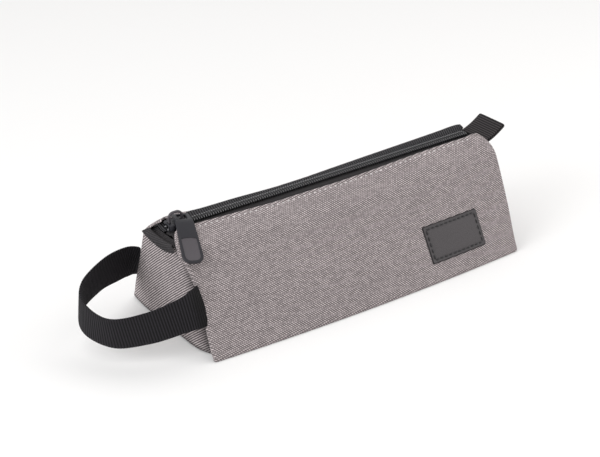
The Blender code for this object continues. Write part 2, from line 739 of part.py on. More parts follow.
def strap_centre(share, seat_y, seat_z):
    """Return the middle of the carry loop at a share from -0.5, the front seam, to 0.5, the back seam.

    The loop leaves each seam spreading outwards at right angles to it, hangs down in front and is higher
    behind. The rise and the wave set its slopes at the seams.
    """
    turn = pi * share
    seam_slope = 1 / tan(LOWER_SLOPE)
    rise = 2 * seam_slope * STRAP_SWELL - 3 * STRAP_LIFT
    wave = (seam_slope * STRAP_SHIFT + 2 * STRAP_TILT) / 4
    out = STRAP_REACH * cos(turn) + STRAP_BELLY * cos(3 * turn)
    across = seat_y * sin(turn) + STRAP_SWELL * sin(2 * turn) - STRAP_SHIFT * cos(turn)
    height = seat_z + rise * cos(turn) - STRAP_LIFT * cos(3 * turn)
    height += STRAP_TILT * sin(2 * turn) + wave * sin(4 * turn)
    start_x = end_x(seat_z) + 2 * FACE_GAP + WEBBING_THICKNESS / 2
    return Vector((-start_x - out, across, height))


def build_handle_strap(collection, material):
    """Make the carry loop: flat webbing from the front end seam round to the back end seam.

    At each seam its width is along the seam. It turns upright where it is farthest out, and leans
    outwards in front and inwards behind.
    """
    seat_y, seat_z = profile_at(STRAP_SEAT_UP_SEAM)[:2]
    seat_y -= WALL / 2
    seam_run = (BASE_WIDTH - SHOULDER_WIDTH) / 2
    step = 0.001
    rows = []
    for share in np.linspace(-0.5, 0.5, STRAP_COLUMNS):
        centre = strap_centre(share, seat_y, seat_z)
        ahead = strap_centre(share + step, seat_y, seat_z) - strap_centre(share - step, seat_y, seat_z)
        side = 1.0 if share > 0 else -1.0
        along_seam = Vector((-END_LEAN, -side * seam_run, SHOULDER_HEIGHT)).normalized()
        upright = min(1.0, STRAP_TURN * cos(pi * share))
        width_way = along_seam.lerp(Vector((0.0, 0.0, 1.0)), upright)
        width_way.rotate(Quaternion(ahead, STRAP_LEAN * sin(2 * pi * share) * cos(pi * share)))
        width_way -= width_way.project(ahead)
        width_way.normalize()
        row = [centre + width_way * WEBBING_WIDTH * across for across in (-0.5, 0.0, 0.5)]
        rows.append([tuple(point) for point in row])
    item = surface_from_grid("handle_strap", np.array(rows), collection)
    add_solidify(item, WEBBING_THICKNESS, 0.0)
    shade(item)
    item.data.materials.append(material)
    return item


def build_end_tab(collection, material):
    """Make the end tab: a short length of the same webbing, folded double, sewn to the band's fold.

    The lower corner of its sewn end is a gap off the band's knee.
    """
    slit = FACE_GAP / 2
    outside = slit + WEBBING_THICKNESS
    length = END_TAB_LENGTH - outside
    outline = [(0.0, -outside)] + arc((length, 0.0), outside, -pi / 2, pi / 2, 8) + [(0.0, outside)]
    outline += [(0.0, slit)] + arc((length, 0.0), slit, pi / 2, -pi / 2, 3) + [(0.0, -slit)]
    item = solid_from_outlines("end_tab", [outline], WEBBING_WIDTH / 2, collection)
    knee_x, knee_height = band_knee()
    seat_x = knee_x + FACE_GAP - outside * sin(END_TAB_RISE)
    seat_height = knee_height + outside * cos(END_TAB_RISE)
    item.matrix_world = (
        Matrix.Translation((seat_x, 0.0, seat_height))
        @ Matrix.Rotation(-END_TAB_RISE, 4, "Y")
        @ Matrix.Rotation(pi / 2, 4, "X")
    )
    shade(item)
    item.data.materials.append(material)
    return item


def build_label(collection, material):
    """Make the label: a bare patch sewn low on the front panel, following its surface."""
    half_width = LABEL_WIDTH / 2
    half_height = LABEL_HEIGHT / 2
    radius = LABEL_CORNER_RADIUS
    outline = []
    for sign_x, sign_y, start in ((1, 1, 0.0), (-1, 1, pi / 2), (-1, -1, pi), (1, -1, 3 * pi / 2)):
        centre = (sign_x * (half_width - radius), sign_y * (half_height - radius))
        outline += arc(centre, radius, start, start + pi / 2, 3)
    item = solid_from_outlines("label_patch", [outline], LABEL_THICKNESS / 2, collection, LABEL_EDGE_ROUND)
    work = bmesh.new()
    work.from_mesh(item.data)
    for share in (-0.6, -0.2, 0.2, 0.6):
        geometry = work.verts[:] + work.edges[:] + work.faces[:]
        place = (share * half_width, 0.0, 0.0)
        bmesh.ops.bisect_plane(work, geom=geometry, plane_co=place, plane_no=(1.0, 0.0, 0.0))
    centre_distance = LABEL_UP_SLOPE + half_height
    stand_off = PAD_GAP + LABEL_THICKNESS / 2
    for vertex in work.verts:
        across, up, level = vertex.co
        vertex.co = panel_point(-1, LABEL_CENTRE_X + across, centre_distance + up, stand_off + level)
    bmesh.ops.triangulate(work, faces=work.faces)
    bmesh.ops.recalc_face_normals(work, faces=work.faces)
    work.to_mesh(item.data)
    work.free()
    shade(item)
    item.data.materials.append(material)
    return item


def main():
    """Build the case, sub-part by sub-part."""
    clear_scene()
    parts = make_collection("triangle_pencil_case")
    cutters = make_collection("cutters")
    cloth = make_material("grey_fabric", GREY_FABRIC, 0.9)
    tape_cloth = make_material("black_fabric", BLACK_FABRIC, 0.85)
    nylon = make_material("black_nylon", BLACK_NYLON, 0.45)
    metal = make_material("dark_metal", DARK_METAL, 0.35, 0.9)
    hide = make_material("label_hide", LABEL_GREY, 0.7)

    build_base_panel(parts, cloth)
    build_long_panel("front_panel", -1, parts, cloth)
    build_long_panel("back_panel", 1, parts, cloth)
    for word, side in (("left", -1), ("right", 1)):
        build_end_wall(word + "_end_wall", side, parts, cloth)
        build_zip_end_band(word + "_zip_end_band", side, parts, tape_cloth)
        build_seam_binding(word + "_seam_binding", side, parts, tape_cloth)
    for word, side in (("front", -1), ("back", 1)):
        build_zip_tape(word + "_zip_tape", side, parts, tape_cloth)
        build_zip_coil(word + "_zip_coil", side, parts, nylon)
    build_slider(parts, cutters, metal)
    build_pull_tab(parts, cutters, metal)
    build_handle_strap(parts, nylon)
    build_end_tab(parts, nylon)
    build_label(parts, hide)


main()
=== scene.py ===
"""Looks of the triangle pencil case: oxford cloth, coil zip, painted pull, webbing loop and sewn label.

Each sub-assembly of the case is a class that holds its sizes and builds and dresses its own meshes. Sizes
are in metres. X runs along the case from the closed end of the zip, -Y is the front and +Z is up.
"""

import logging
import math
from dataclasses import dataclass
from enum import Enum
from functools import cached_property
from typing import NamedTuple

import bmesh
import bpy
import numpy as np
from mathutils import Matrix


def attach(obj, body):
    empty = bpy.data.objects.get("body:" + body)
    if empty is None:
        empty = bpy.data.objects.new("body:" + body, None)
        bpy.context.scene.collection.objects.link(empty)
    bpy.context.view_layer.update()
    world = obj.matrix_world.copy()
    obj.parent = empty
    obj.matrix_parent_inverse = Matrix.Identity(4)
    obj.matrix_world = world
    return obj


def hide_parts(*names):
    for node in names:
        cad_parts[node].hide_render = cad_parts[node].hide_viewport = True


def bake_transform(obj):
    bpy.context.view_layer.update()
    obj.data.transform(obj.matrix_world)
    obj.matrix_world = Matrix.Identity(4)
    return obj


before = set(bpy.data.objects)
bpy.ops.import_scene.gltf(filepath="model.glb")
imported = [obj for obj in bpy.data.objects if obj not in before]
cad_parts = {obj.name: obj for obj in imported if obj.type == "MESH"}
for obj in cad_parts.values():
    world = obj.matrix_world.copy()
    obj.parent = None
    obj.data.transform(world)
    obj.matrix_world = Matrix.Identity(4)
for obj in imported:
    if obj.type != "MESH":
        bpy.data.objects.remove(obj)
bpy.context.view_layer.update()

LOG = logging.getLogger("pencil_case")
TAU = 2.0 * math.pi
TWILL = "twill_weave"
UNEVEN = "soft_unevenness"
ALONG = (1.0, 0.0, 0.0)
ACROSS = (0.0, 1.0, 0.0)
UP = (0.0, 0.0, 1.0)

Triple = tuple[float, float, float]
Table = tuple[tuple[float, float], ...]
Socket = bpy.types.NodeSocket


class Way(Enum):
    """A side or an end of the case, as the sign of its axis."""

    @property
    def word(self) -> str:
        """The word that the names of its pieces start with."""
        return self.name.lower()


class Side(Way):
    """The front or the back of the case, along Y."""

    FRONT = -1
    BACK = 1


class End(Way):
    """The left or the right end of the case, along X."""

    LEFT = -1
    RIGHT = 1


class Slot(Enum):
    """The names of the finishes' slots."""

    GREY_FABRIC = "grey_fabric"
    BLACK_FABRIC = "black_fabric"
    BLACK_NYLON = "black_nylon"
    BLACK_WEBBING = "black_webbing"
    DARK_METAL = "dark_metal"
    LABEL_HIDE = "label_hide"


# Shapes


def smooth(value: np.ndarray, low: float, high: float) -> np.ndarray:
    """Return t * t * (3 - 2 * t), with t the share of the way from low to high, kept within 0 and 1."""
    share = np.clip((value - low) / (high - low), 0.0, 1.0)
    return share * share * (3.0 - 2.0 * share)


def hump(value: np.ndarray, middle: float, width: float) -> np.ndarray:
    """Return exp(-((value - middle) / width)^2), which is 1 in the middle."""
    return np.exp(-(((value - middle) / width) ** 2))


def unit(vectors: np.ndarray) -> np.ndarray:
    """Return the vectors, each divided by its own length."""
    return vectors / np.linalg.norm(vectors, axis=-1, keepdims=True)


def grid(*parts: np.ndarray) -> np.ndarray:
    """Spread the parts to one shape and set them side by side along a new last axis."""
    return np.stack(np.broadcast_arrays(*parts), axis=-1)


def heading(path: np.ndarray) -> np.ndarray:
    """Return the direction of a path at each of its points."""
    return unit(np.gradient(path, axis=0))


def everywhere(direction: Triple, path: np.ndarray) -> np.ndarray:
    """Return one direction at every point of a path."""
    return np.broadcast_to(np.array(direction), path.shape)


def rolled(count: int, steps: int) -> tuple[np.ndarray, np.ndarray]:
    """Spread a cloth from edge to edge, with both edges turned round a quarter circle.

    Args:
        count: Points from edge to edge.
        steps: Points round each turned edge.

    Returns:
        Shares of the half width, from -1 to 1, and angles of turn, from -90 to 90 degrees.
    """
    turn = np.linspace(0.0, math.pi / 2, steps + 1)[1:]
    shares = np.concatenate([np.full(steps, -1.0), np.linspace(-1.0, 1.0, count), np.full(steps, 1.0)])
    return shares, np.concatenate([-turn[::-1], np.zeros(count), turn])


def oval(width: float, height: float, count: int, power: float = 2.0) -> np.ndarray:
    """Return a ring of points on a superellipse.

    Args:
        width: Full width.
        height: Full height.
        count: Number of points.
        power: 2 for an ellipse, more for a squarer ring.

    Returns:
        Points at equal steps of the angle a: cos(a) and sin(a), each raised to 2 / power with its sign.
    """
    angle = np.arange(count) * TAU / count
    ring = grid(np.cos(angle), np.sin(angle))
    ring = np.sign(ring) * np.abs(ring) ** (2.0 / power)
    return ring * np.array([width / 2, height / 2])


def carried(path: np.ndarray, across: np.ndarray, upward: np.ndarray, ring: np.ndarray) -> np.ndarray:
    """Carry a section along a path.

    Args:
        path: Points of the path.
        across: The section's own X at each point.
        upward: The section's own Y at each point.
        ring: The section's points, one set for all or one set for each point of the path.

    Returns:
        A grid: path + across * ring x + upward * ring y.
    """
    ring = np.broadcast_to(ring, (len(path),) + ring.shape[-2:])
    return path[:, None] + across[:, None] * ring[..., :1] + upward[:, None] * ring[..., 1:]


def run_length(path: np.ndarray) -> np.ndarray:
    """Return the distance along a path at each of its points."""
    return np.concatenate([[0.0], np.cumsum(np.linalg.norm(np.diff(path, axis=0), axis=-1))])


def resample(path: np.ndarray, count: int) -> np.ndarray:
    """Return a path of count points at equal distances along the given one, with any further columns.

    Args:
        path: Points of the path.
        count: How many points are wanted.

    Returns:
        The points, with the further columns at the same places.
    """
    length = run_length(path[:, :3])
    wanted = np.linspace(0.0, length[-1], count)
    return grid(*(np.interp(wanted, length, column) for column in path.T))


def curve_through(rows: np.ndarray, count: int) -> np.ndarray:
    """Carry a smooth curve through rows of values.

    Args:
        rows: The rows, each an array of any shape.
        count: How many steps are wanted.

    Returns:
        Cubic pieces from row to row, whose slopes at a row are the mean of its neighbours' steps.
    """
    number = np.linspace(0.0, len(rows) - 1.0, count)
    left = np.minimum(number.astype(int), len(rows) - 2)
    t = (number - left).reshape((-1,) + (1,) * (rows.ndim - 1))
    slopes = np.gradient(rows, axis=0)
    square, cube = t * t, t * t * t
    return (
        (2 * cube - 3 * square + 1) * rows[left]
        + (cube - 2 * square + t) * slopes[left]
        + (3 * square - 2 * cube) * rows[left + 1]
        + (cube - square) * slopes[left + 1]
    )


def soft_line(table: Table, place: np.ndarray, spread: float) -> np.ndarray:
    """Return a line through a table of places and values, as its mean at seven steps within the spread.

    Args:
        table: Places, rising, and the value at each.
        place: Where the line is wanted.
        spread: How far the corners of the line are eased.

    Returns:
        The line's values.
    """
    places, values = np.array(table).T
    steps = np.linspace(-spread, spread, 7)
    return np.mean([np.interp(place + step, places, values) for step in steps], axis=0)


# Meshes


def put(name: str, data: bpy.types.ID) -> bpy.types.Object:
    """Put an object that holds the data into the scene.

    Args:
        name: The object's name.
        data: Its mesh, lamp or camera.

    Returns:
        The new object.
    """
    item = bpy.data.objects.new(name, data)
    bpy.context.scene.collection.objects.link(item)
    return item


def put_mesh(
    name: str, points: np.ndarray, faces: list, loops: np.ndarray | None = None
) -> bpy.types.Object:
    """Make a smooth shaded object from points and faces.

    Args:
        name: The piece's name.
        points: Points as rows of three.
        faces: Lists of point numbers.
        loops: One UV pair for each corner of each face, in order, or None.

    Returns:
        The new object.
    """
    mesh = bpy.data.meshes.new(name)
    mesh.from_pydata(points.reshape(-1, 3).tolist(), [], faces)
    if loops is not None:
        mesh.uv_layers.new(name="cloth").data.foreach_set("uv", loops.astype(np.float32).ravel())
    mesh.shade_smooth()
    return put(name, mesh)


def numbers(rows: int, columns: int, tube: bool = False) -> np.ndarray:
    """Return the point numbers of a grid, with its first column again at the end where it is a tube."""
    index = np.arange(rows * columns).reshape(rows, columns)
    return np.concatenate([index, index[:, :1]], axis=1) if tube else index


def cells(values: np.ndarray, flip: bool) -> np.ndarray:
    """Return the values at the four corners of each cell of a grid, turned round where flip is set.

    Args:
        values: A value, or a row of values, at each point of the grid.
        flip: Whether each cell's corners are turned round.

    Returns:
        The values, cell by cell, with four to each.
    """
    corners = [values[:-1, :-1], values[:-1, 1:], values[1:, 1:], values[1:, :-1]]
    if flip:
        corners.reverse()
    return np.stack([part.reshape((-1,) + values.shape[2:]) for part in corners], axis=1)


def surface(
    name: str, points: np.ndarray, uv: np.ndarray | None = None, tube: bool = False, flip: bool = False
) -> bpy.types.Object:
    """Make a surface from a grid of points.

    Args:
        name: The piece's name.
        points: Rows by columns by three.
        uv: Rows by columns by two, with one more column than the points where it is a tube.
        tube: Join the last column to the first, and close the first and the last row with a face.
        flip: Turn the faces round.

    Returns:
        The new object.
    """
    index = numbers(*points.shape[:2], tube)
    faces = cells(index, flip).tolist()
    loops = None if uv is None else cells(uv, flip).reshape(-1, 2)
    if tube:
        ends = (index[0, :-1][::-1], index[-1, :-1])
        faces += [(end[::-1] if flip else end).tolist() for end in ends]
        if uv is not None:
            loops = np.concatenate([loops, uv[0, :-1], uv[-1, :-1]])
    return put_mesh(name, points, faces, loops)


def sheet(
    name: str, points: np.ndarray, uv: np.ndarray, thickness: float, flip: bool, offset: float = -1.0
) -> bpy.types.Object:
    """Make a sheet of cloth.

    Args:
        name: The piece's name.
        points: Rows by columns by three.
        uv: Rows by columns by two.
        thickness: The cloth's thickness.
        flip: Turn the faces round.
        offset: -1 puts the thickness on the inside, 0 on both sides.

    Returns:
        The new object.
    """
    item = surface(name, points, uv, flip=flip)
    wall = item.modifiers.new("cloth_thickness", "SOLIDIFY")
    wall.thickness = thickness
    wall.offset = offset
    return item


def stitches(
    name: str, centres: np.ndarray, runs: np.ndarray, normals: np.ndarray, length: float, thickness: float
) -> bpy.types.Object:
    """Make a row of stitches as one mesh, each a short thread that dives into the cloth at its ends.

    A stitch is a ring carried along its run: at share t from 0 to 1 it is at length * (t - 1/2), its
    radius follows sin(pi * t) raised to 0.4, and it rises by half a thickness times sin(pi * t).

    Args:
        name: The piece's name.
        centres: The middle of each stitch.
        runs: The direction of each stitch.
        normals: The direction away from the cloth.
        length: A stitch's length.
        thickness: The thread's thickness.

    Returns:
        The new object.
    """
    share = np.linspace(0.02, 0.98, 8)
    swell = np.sin(math.pi * share)
    size = swell[:, None] ** 0.4
    rise = thickness * (0.5 * swell - 0.2)
    ring = oval(thickness, thickness, 8)
    runs = unit(runs)
    normals = unit(normals - runs * np.sum(runs * normals, axis=-1, keepdims=True))
    runs, across, normals = (part[:, None, None] for part in (runs, np.cross(normals, runs), normals))
    points = (
        centres[:, None, None]
        + runs * (length * (share - 0.5))[:, None, None]
        + across * (size * ring[:, 0])[..., None]
        + normals * (rise[:, None] + size * ring[:, 1])[..., None]
    )
    count, rows, columns = points.shape[:3]
    index = numbers(rows, columns, tube=True)
    shift = np.arange(count)[:, None] * (rows * columns)
    faces = (cells(index, True) + shift[..., None]).reshape(-1, 4).tolist()
    ends = [(end + shift).tolist() for end in (index[0, :-1], index[-1, :-1][::-1])]
    return put_mesh(name, points, faces + ends[0] + ends[1])


def mark(item: bpy.types.Object, name: str, values: np.ndarray) -> None:
    """Store one number at each point of a piece, which its finish reads by name."""
    attribute = item.data.attributes.new(name, "FLOAT", "POINT")
    attribute.data.foreach_set("value", values.astype(np.float32))


def read(rows: bpy.types.bpy_prop_collection, option: str, width: int) -> np.ndarray:
    """Return one option of a mesh's points or faces, as rows of that width.

    Args:
        rows: The mesh's points or faces.
        option: The option's name.
        width: How many numbers each has.

    Returns:
        A row of numbers for each point or face.
    """
    values = np.empty(len(rows) * width)
    rows.foreach_get(option, values)
    return values.reshape(-1, width)


def refined_copy(node: str, name: str, width: float) -> bpy.types.Object:
    """Copy a CAD node's mesh, merge its loose triangles and round its edges.

    Args:
        node: The CAD node.
        name: The new piece's name.
        width: How far the rounding reaches from each edge.

    Returns:
        The new object, with a live Bevel.
    """
    work = bmesh.new()
    work.from_mesh(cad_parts[node].data)
    bmesh.ops.remove_doubles(work, verts=work.verts, dist=0.000002)
    bmesh.ops.dissolve_limit(work, angle_limit=math.radians(1.0), verts=work.verts, edges=work.edges)
    mesh = bpy.data.meshes.new(name)
    work.to_mesh(mesh)
    work.free()
    mesh.shade_smooth()
    item = put(name, mesh)
    rounding = item.modifiers.new("edge_round", "BEVEL")
    rounding.width = width
    rounding.segments = 3
    rounding.limit_method = "ANGLE"
    rounding.angle_limit = math.radians(28.0)
    return item


# Finishes


class Wiring:
    """A short hand for the nodes of one material or group."""

    def __init__(self, tree: bpy.types.NodeTree) -> None:
        """Keep the tree that the nodes go into."""
        self.tree = tree

    def add(self, kind: str, **settings: object) -> bpy.types.Node:
        """Add a node and set its own options.

        Args:
            kind: The node's type without its ShaderNode prefix.
            settings: Options of the node by name.

        Returns:
            The new node.
        """
        node = self.tree.nodes.new("ShaderNode" + kind)
        for option, value in settings.items():
            setattr(node, option, value)
        return node

    def feed(self, node: bpy.types.Node, values: dict[object, object]) -> None:
        """Link a node's inputs, by name or number, to outputs, or set their own values.

        Args:
            node: The node.
            values: An output or a value for each input.
        """
        for key, value in values.items():
            if isinstance(value, Socket):
                self.tree.links.new(value, node.inputs[key])
            else:
                node.inputs[key].default_value = value

    def sum(self, operation: str, *values: object) -> Socket:
        """Work out one arithmetic step.

        Args:
            operation: The Math node's operation.
            values: Up to three numbers or outputs.

        Returns:
            The result's socket.
        """
        node = self.add("Math", operation=operation)
        self.feed(node, dict(enumerate(values)))
        return node.outputs[0]

    def times(self, first: object, *others: object) -> Socket:
        """Return the product of numbers or outputs.

        Args:
            first: A number or an output.
            others: What it is multiplied by.

        Returns:
            The product's socket.
        """
        for value in others:
            first = self.sum("MULTIPLY", first, value)
        return first

    def span(self, value: Socket, start: float, end: float) -> Socket:
        """Map 0..1 to start..end along a straight line."""
        return self.sum("MULTIPLY_ADD", value, end - start, start)

    def ease(self, value: Socket, low: float, high: float, start: float, end: float) -> Socket:
        """Map low..high to start..end with a smooth step.

        Args:
            value: An output.
            low: Where the result leaves start.
            high: Where the result reaches end.
            start: The result's first value.
            end: The result's last value.

        Returns:
            The result's socket.
        """
        node = self.add("MapRange", interpolation_type="SMOOTHSTEP")
        self.feed(node, dict(enumerate((value, low, high, start, end))))
        return node.outputs[0]

    def ridges(self, value: Socket, factor: float) -> Socket:
        """Return the absolute sine of value * factor."""
        return self.sum("ABSOLUTE", self.sum("SINE", self.sum("MULTIPLY", value, factor)))

    def wave(self, value: Socket, factor: float, half: float) -> Socket:
        """Return 0.5 + half * cos(value * factor)."""
        return self.sum("MULTIPLY_ADD", self.sum("COSINE", self.sum("MULTIPLY", value, factor)), half, 0.5)

    def blend(self, share: object, low: object, high: object, kind: str = "MIX") -> Socket:
        """Blend two colours.

        Args:
            share: From 0, low alone, to 1.
            low: A colour or an output.
            high: A colour or an output.
            kind: The blend type.

        Returns:
            The colour's socket.
        """
        node = self.add("Mix", data_type="RGBA", blend_type=kind)
        low, high = (value + (1.0,) if isinstance(value, tuple) else value for value in (low, high))
        self.feed(node, {0: share, 6: low, 7: high})
        return node.outputs[2]

    def tint(self, colour: object, shade: Socket) -> Socket:
        """Multiply a colour by a shade that varies near 1.

        Args:
            colour: A colour or an output.
            shade: An output.

        Returns:
            The colour's socket.
        """
        grey = self.add("CombineColor")
        self.feed(grey, dict.fromkeys(range(3), shade))
        return self.blend(1.0, colour, grey.outputs[0], "MULTIPLY")

    def noise(self, vector: Socket, scale: object, detail: float) -> Socket:
        """Return the value of a noise pattern of that scale.

        Args:
            vector: The coordinates.
            scale: How many cells lie along a metre.
            detail: How many finer layers are added.

        Returns:
            The pattern's socket, from 0 to 1.
        """
        node = self.add("TexNoise")
        self.feed(node, {"Vector": vector, "Scale": scale, "Detail": detail})
        return node.outputs[0]

    def split(self, vector: Socket) -> list[Socket]:
        """Return the three parts of a vector.

        Args:
            vector: The vector's output.

        Returns:
            The sockets of its X, Y and Z.
        """
        node = self.add("SeparateXYZ")
        self.feed(node, {0: vector})
        return list(node.outputs)

    def cloth_map(self) -> Socket:
        """Return the piece's own UV map, laid out in metres of cloth."""
        return self.add("UVMap", uv_map="cloth").outputs[0]

    def marked(self, name: str) -> Socket:
        """Return the number that is stored at the piece's points under that name."""
        return self.add("Attribute", attribute_name=name).outputs["Fac"]

    def group(self, name: str, values: dict[object, object]) -> bpy.types.NodeOutputs:
        """Put in a shared group and feed its inputs.

        Args:
            name: The group's name.
            values: An output or a value for each input.

        Returns:
            The group's outputs by name.
        """
        node = self.add("Group", node_tree=bpy.data.node_groups[name])
        self.feed(node, values)
        return node.outputs

    def seen(self) -> Socket:
        """Return 1 for what the camera, gloss and glass see, and 0 for what lights the case.

        Returns:
            The socket of that value.
        """
        path = self.add("LightPath").outputs
        through = self.sum("MAXIMUM", path["Is Glossy Ray"], path["Is Transmission Ray"])
        return self.sum("MAXIMUM", path["Is Camera Ray"], through)


def new_group(
    name: str, inputs: dict[str, str], outputs: tuple[str, ...]
) -> tuple[Wiring, bpy.types.NodeOutputs, bpy.types.Node]:
    """Make an empty node group.

    Args:
        name: The group's name.
        inputs: Whether each input is a Vector or a Float, by name.
        outputs: Names of the values that it gives.

    Returns:
        The group's wiring, its input sockets by name and its output node.
    """
    tree = bpy.data.node_groups.new(name, "ShaderNodeTree")
    for label, kind in inputs.items():
        tree.interface.new_socket(name=label, in_out="INPUT", socket_type="NodeSocket" + kind)
    for label in outputs:
        tree.interface.new_socket(name=label, in_out="OUTPUT", socket_type="NodeSocketFloat")
    entry = tree.nodes.new("NodeGroupInput")
    leave = tree.nodes.new("NodeGroupOutput")
    return Wiring(tree), entry.outputs, leave


def make_twill(wander: float = 0.2) -> None:
    """Make the weave: raised floats of yarn in diagonal rows, cut across by a second set of lines.

    With p and q the turns of the rows and of the cuts at a place, the rows are (1 + cos(2 pi p)) / 2, the
    cuts are (1 + cos(2 pi q)) / 2 and the shine between them is (1 + cos(2 pi (p + q))) / 2. Each float
    takes a tone of its own from the whole turns of p and q. All four go from 0 to 1.

    Args:
        wander: How far the rows and the cuts drift, in turns.
    """
    inputs = {"Vector": "Vector", "Rows per metre": "Vector", "Cuts per metre": "Vector"}
    wire, entry, leave = new_group(TWILL, inputs, ("Rows", "Cuts", "Shine", "Tone"))
    turns = []
    for label, scale in (("Rows per metre", 150.0), ("Cuts per metre", 190.0)):
        dot = wire.add("VectorMath", operation="DOT_PRODUCT")
        wire.feed(dot, {0: entry["Vector"], 1: entry[label]})
        drift = wire.sum("SUBTRACT", wire.noise(entry["Vector"], scale, 2.0), 0.5)
        turns.append(wire.sum("MULTIPLY_ADD", drift, wander, dot.outputs["Value"]))
    turns.append(wire.sum("ADD", *turns))
    for label, turn in zip(("Rows", "Cuts", "Shine"), turns):
        wire.feed(leave, {label: wire.wave(turn, TAU, 0.5)})
    cell = wire.add("CombineXYZ")
    wire.feed(cell, {number: wire.sum("ROUND", turns[number]) for number in range(2)})
    random = wire.add("TexWhiteNoise", noise_dimensions="2D")
    wire.feed(random, {"Vector": cell.outputs[0]})
    wire.feed(leave, {"Tone": random.outputs[0]})


def make_unevenness() -> None:
    """Make the soft unevenness of a handled surface, from two sizes of noise.

    The group gives Shade, which is near 1, and Rub, from 0 to 1, for roughness.
    """
    inputs = {"Vector": "Vector", "Amount": "Float", "Scale": "Float"}
    wire, entry, leave = new_group(UNEVEN, inputs, ("Shade", "Rub"))
    broad = wire.noise(entry["Vector"], entry["Scale"], 3.0)
    fine = wire.noise(entry["Vector"], wire.sum("MULTIPLY", entry["Scale"], 9.0), 2.0)
    both = wire.sum("MULTIPLY_ADD", broad, 0.7, wire.sum("MULTIPLY", fine, 0.3))
    swing = wire.times(wire.sum("SUBTRACT", both, 0.5), entry["Amount"])
    wire.feed(leave, {"Shade": wire.sum("MULTIPLY_ADD", swing, 2.0, 1.0), "Rub": broad})


@dataclass(frozen=True)
class Finish:
    """What every finish has: a name, a colour and the values of its shader.

    Patches is the scale of the soft unevenness, and rough_swing is how far the roughness varies with it.
    Depth is that of the relief, in metres.
    """

    name: str
    colour: Triple
    roughness: float
    unevenness: float = 0.1
    patches: float = 60.0
    rough_swing: float = 0.0
    depth: float = 0.00008
    strength: float = 0.6
    specular: float = 0.3
    sheen: float = 0.0

    def pattern(self, wire: Wiring, place: Socket, shade: Socket) -> tuple[Socket, Socket]:
        """Work out what varies over the surface. Each finish has its own.

        Args:
            wire: The material's wiring.
            place: The piece's own coordinates.
            shade: The soft unevenness, near 1.

        Returns:
            The colour and the height of the relief.
        """
        raise NotImplementedError

    def build(self) -> bpy.types.Material:
        """Make the material: the pattern on a Principled shader.

        Returns:
            The material.
        """
        material = bpy.data.materials.new(self.name)
        material.use_nodes = True
        wire = Wiring(material.node_tree)
        place = wire.add("TexCoord").outputs["Object"]
        uneven = wire.group(UNEVEN, {"Vector": place, "Amount": self.unevenness, "Scale": self.patches})
        colour, height = self.pattern(wire, place, uneven["Shade"])
        bump = wire.add("Bump")
        wire.feed(bump, {"Height": height, "Distance": self.depth, "Strength": self.strength})
        rough = self.roughness
        if self.rough_swing:
            rough = wire.span(uneven["Rub"], rough - self.rough_swing, rough + self.rough_swing)
        wire.feed(material.node_tree.nodes["Principled BSDF"], {
            "Base Color": colour, "Roughness": rough, "Normal": bump.outputs[0],
            "Specular IOR Level": self.specular, "Sheen Weight": self.sheen,
        })
        return material


@dataclass(frozen=True)
class WovenFinish(Finish):
    """Woven cloth: two yarn colours in diagonal rows of floats, with fuzz, and sheen on the grey cloth.

    The three shares say how much the rows, the cuts across them and the shine between them show. The
    mark seam is 1 where painted shade darkens the cloth beside a seam.
    """

    patches: float = 26.0
    depth: float = 0.0002
    strength: float = 0.8
    specular: float = 0.25
    second: Triple = (0.012, 0.011, 0.012)
    rows: Triple = (655.0, -500.0, 0.0)
    cuts: Triple = (155.0, 1005.0, 0.0)
    shares: Triple = (0.32, 0.46, 0.22)
    tone: float = 0.3
    seam_shade: float = 0.92

    def pattern(self, wire: Wiring, place: Socket, shade: Socket) -> tuple[Socket, Socket]:
        """Weave the two colours over the cloth, with a tone for each float, and paint shade beside the
        seam.

        Args:
            wire: The material's wiring.
            place: The piece's own coordinates.
            shade: The soft unevenness, near 1.

        Returns:
            The colour and the height of the relief.
        """
        lines = {"Rows per metre": self.rows, "Cuts per metre": self.cuts}
        cloth = wire.group(TWILL, {"Vector": wire.cloth_map()} | lines)
        height = 0.0
        for label, share in zip(("Rows", "Cuts", "Shine"), self.shares):
            height = wire.sum("MULTIPLY_ADD", cloth[label], share, height)
        yarn = wire.blend(wire.ease(height, 0.15, 0.85, 0.0, 1.0), self.second, self.colour)
        tone = wire.span(cloth["Tone"], 1.0 - self.tone / 2, 1.0 + self.tone / 2)
        fuzz = wire.noise(place, 5200.0, 2.0)
        # Painted shade: where the mark seam is set, the cloth is darkened by seam_shade.
        painted_seam_shade = wire.sum("MULTIPLY_ADD", wire.marked("seam"), -self.seam_shade, shade)
        tone_and_painted_shade = wire.times(tone, wire.span(fuzz, 0.75, 1.25), painted_seam_shade)
        return wire.tint(yarn, tone_and_painted_shade), wire.sum("MULTIPLY_ADD", fuzz, 0.35, height)


@dataclass(frozen=True)
class WebbingFinish(Finish):
    """Ribbed webbing: yarns across each rib, painted highlight on rib tops and painted shade by a seam."""

    depth: float = 0.00012
    specular: float = 0.2
    rib_pitch: float = 0.0015
    yarn_pitch: float = 0.0006

    def pattern(self, wire: Wiring, place: Socket, shade: Socket) -> tuple[Socket, Socket]:
        """Rib the webbing: U of its own map runs along it and V across it.

        Args:
            wire: The material's wiring.
            place: The piece's own coordinates, not used.
            shade: The soft unevenness, near 1.

        Returns:
            The colour and the height of the relief.
        """
        along, across, _ = wire.split(wire.cloth_map())
        rib = wire.wave(along, TAU / self.rib_pitch, -0.5)
        yarn = wire.ridges(wire.sum("MULTIPLY_ADD", along, 0.5, across), math.pi / self.yarn_pitch)
        # Painted highlight along the top of each rib.
        crest = wire.ease(rib, 0.0, 1.0, 0.1, 2.3)
        # Painted shade beside the front end seam, where the mark seam is set.
        painted_root_shade = wire.span(wire.marked("seam"), 1.0, 0.25)
        shades = wire.times(crest, shade, wire.ease(yarn, 0.0, 0.8, 0.75, 1.1), painted_root_shade)
        return wire.tint(self.colour, shades), wire.sum("MULTIPLY_ADD", rib, 1.5, yarn)


